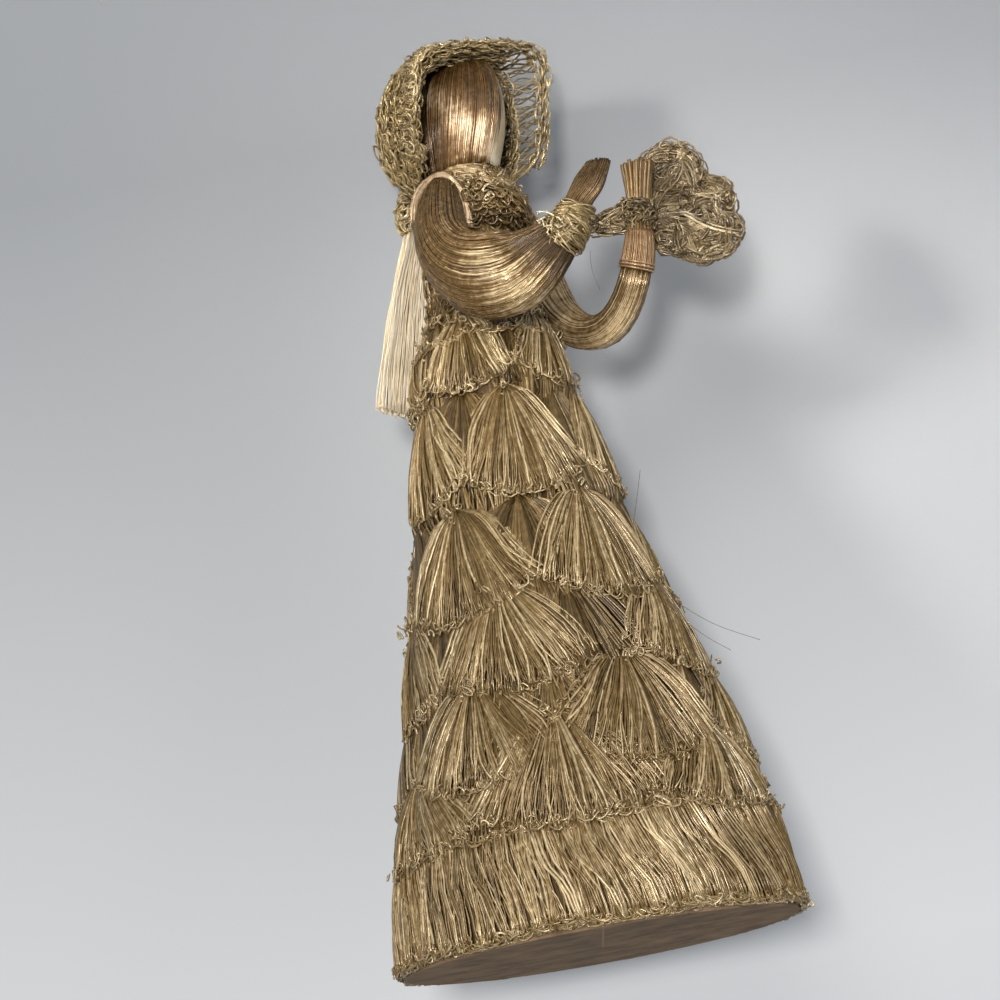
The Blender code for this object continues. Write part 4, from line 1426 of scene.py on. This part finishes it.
# %% [markdown]
# The handkerchief is a ruffled round of loose crochet, tied to the left hand by its tail. Its
# form is an oval with a ragged reach, a hole near its top, a tail and a ruffle, and every thread
# is laid through one function for that form.

# %% Form of the handkerchief
HANDKERCHIEF_CENTRE = Vector((27.2, -58.5, 197.5))
HANDKERCHIEF_SIDE = Vector((0.643, -0.766, 0.0))
HANDKERCHIEF_FACING = HANDKERCHIEF_SIDE.cross(Vector((0.0, 0.0, 1.0)))
HANDKERCHIEF_WIDTH = 13.8
HANDKERCHIEF_HEIGHT = 15.8
TAIL_LENGTH = 17.0
RUFFLE_DEPTH = 1.6
# Reach of the ragged edge every 15 degrees, as a share of the plain oval
EDGE_REACH = [0.86, 0.87, 0.78, 0.72, 0.74, 1.05, 1.2, 1.3, 1.34, 1.3, 1.12, 1.0,
              1.0, 1.0, 1.01, 1.07, 1.0, 0.95, 1.06, 1.13, 1.18, 1.15, 1.1, 0.88, 0.86]
HOLE = Vector((-5.9, 13.8))
HOLE_HALF_SIZES = Vector((2.5, 3.8))


def handkerchief_point(turn, share, lift=0.0):
    """A point of the ruffled sheet: share runs from its middle to its edge, round its hole."""
    reach = between(EDGE_REACH, turn / (2 * math.pi) % 1.0)
    tail = TAIL_LENGTH * max(-math.cos(turn), 0.0) ** 40
    side = (HANDKERCHIEF_WIDTH * reach + tail) * math.cos(turn) * share
    rise = HANDKERCHIEF_HEIGHT * reach * math.sin(turn) * share
    off = Vector((side, rise)) - HOLE
    nearness = max(math.hypot(off.x / HOLE_HALF_SIZES.x, off.y / HOLE_HALF_SIZES.y), 0.05)
    side, rise = HOLE + off / min(nearness, 1.0)
    ruffle = RUFFLE_DEPTH * share ** 2 * math.sin(5 * turn + 0.8) + lift
    return (HANDKERCHIEF_CENTRE + HANDKERCHIEF_SIDE * side + Vector((0.0, 0.0, rise))
            + HANDKERCHIEF_FACING * ruffle) * MM


def facing(point):
    """The way that the handkerchief faces."""
    return HANDKERCHIEF_FACING


print("handkerchief top at", round(handkerchief_point(math.pi / 2, 1.0).z / MM, 1))

# %% [markdown]
# Rows of loops run round the sheet. Over them lie short bent bundles in all directions, which
# give the tangle of the real one, then the rings that tie it to the wrist, and a rim of stitches.

# %% Handkerchief crochet
HANKY_RINGS = 8
HANKY_BUNDLES = 150
TIE_PLACE = 0.9
TIE_WINDS = 16
strands = []
for ring in range(1, HANKY_RINGS + 1):
    share = 0.97 * ring / HANKY_RINGS
    points = [handkerchief_point(2 * math.pi * step / 60, share, draw.uniform(-0.2, 0.2))
              for step in range(61)]
    strands += looped(points, facing, (3.4, 5.0), (1.1, 1.7), (0.26, 0.36), (0.36, 0.18), 0.45, 2)
for bundle in range(HANKY_BUNDLES):
    around, out = any_turn(), 0.9 * math.sqrt(draw.random())
    way, bend, reach = any_turn(), draw.uniform(-1.4, 1.4), draw.uniform(0.3, 0.6)
    lift, tone = draw.uniform(-0.9, 1.0), draw.gauss(0.42, 0.2)
    for ribbon in range(3):
        offset = draw.uniform(-0.08, 0.08)
        points = []
        for step in range(9):
            along = reach * (step / 4 - 1.0)
            across = Vector((math.cos(way + bend * along), math.sin(way + bend * along)))
            place = Vector((out * math.cos(around), out * math.sin(around))) + across * along
            place += Vector((-across.y, across.x)) * offset
            points.append(handkerchief_point(math.atan2(place.y, place.x), min(place.length, 0.97),
                                             lift + 0.25 * math.sin(step + way)))
        strands.append((points, draw.uniform(0.26, 0.46) * MM, draw.gauss(tone, 0.08)))
tie = wrist_ring(LEFT_ARM, TIE_PLACE, 1.1)
from_tie = from_point(arm_middle(LEFT_ARM, TIE_PLACE))
for wind in range(TIE_WINDS):
    slip = Vector((0.0, 0.0, draw.uniform(-4.0, 3.4))) * MM
    strands += looped([point + slip for point in tie], from_tie,
                      (2.6, 3.6), 1.1, 0.28, (0.45, 0.18), 0.45)
edge = [handkerchief_point(2 * math.pi * step / 90, 0.98) for step in range(91)]
strands += looped(edge, facing, (3.0, 4.4), (0.6, 1.0), 0.34, (0.5, 0.12), 0.3, 3)
thing = strand_mesh("handkerchief_crochet", strands)
finish_piece(thing, "handkerchief", HANKY_FIBRE)

# %% [markdown]
# A few fine fibres have worked loose. They are hair-thin and follow one lazy bend each.

# %% Stray fibres
STRAY_RADIUS = 0.06 * MM
STRAY_TONE = 0.2
# The piece that each one belongs to, and the points that it runs through, in millimetres
STRAYS = [
    ("dress", "dress_crochet", [(-14.1, -51.6, 82.2), (-8.4, -61.5, 71.0), (-3.5, -72.0, 63.5)]),
    ("dress", "dress_crochet", [(-14.6, -51.0, 80.0), (-8.0, -58.0, 69.0), (-5.5, -64.0, 63.0)]),
    ("dress", "dress_crochet", [(6.2, -38.5, 122.1), (1.4, -38.6, 112.0), (-2.0, -38.0, 104.1)]),
    ("dress", "dress_crochet", [(14.7, -48.6, 45.4), (14.2, -51.5, 40.0), (12.5, -52.2, 33.8)]),
    ("left_arm", "combed_fibre", [(-10.9, -49.3, 179.9), (-10.8, -48.6, 174.0), (-8.9, -48.5, 168.8)]),
]
for number, (node, slot, path) in enumerate(STRAYS):
    bend = [between([Vector(place) * MM for place in path], step / 12) for step in range(13)]
    thing = strand_mesh("stray_fibre_%d" % (number + 1), [(bend, STRAY_RADIUS, STRAY_TONE)])
    finish_piece(thing, node, COMBED_FIBRE)
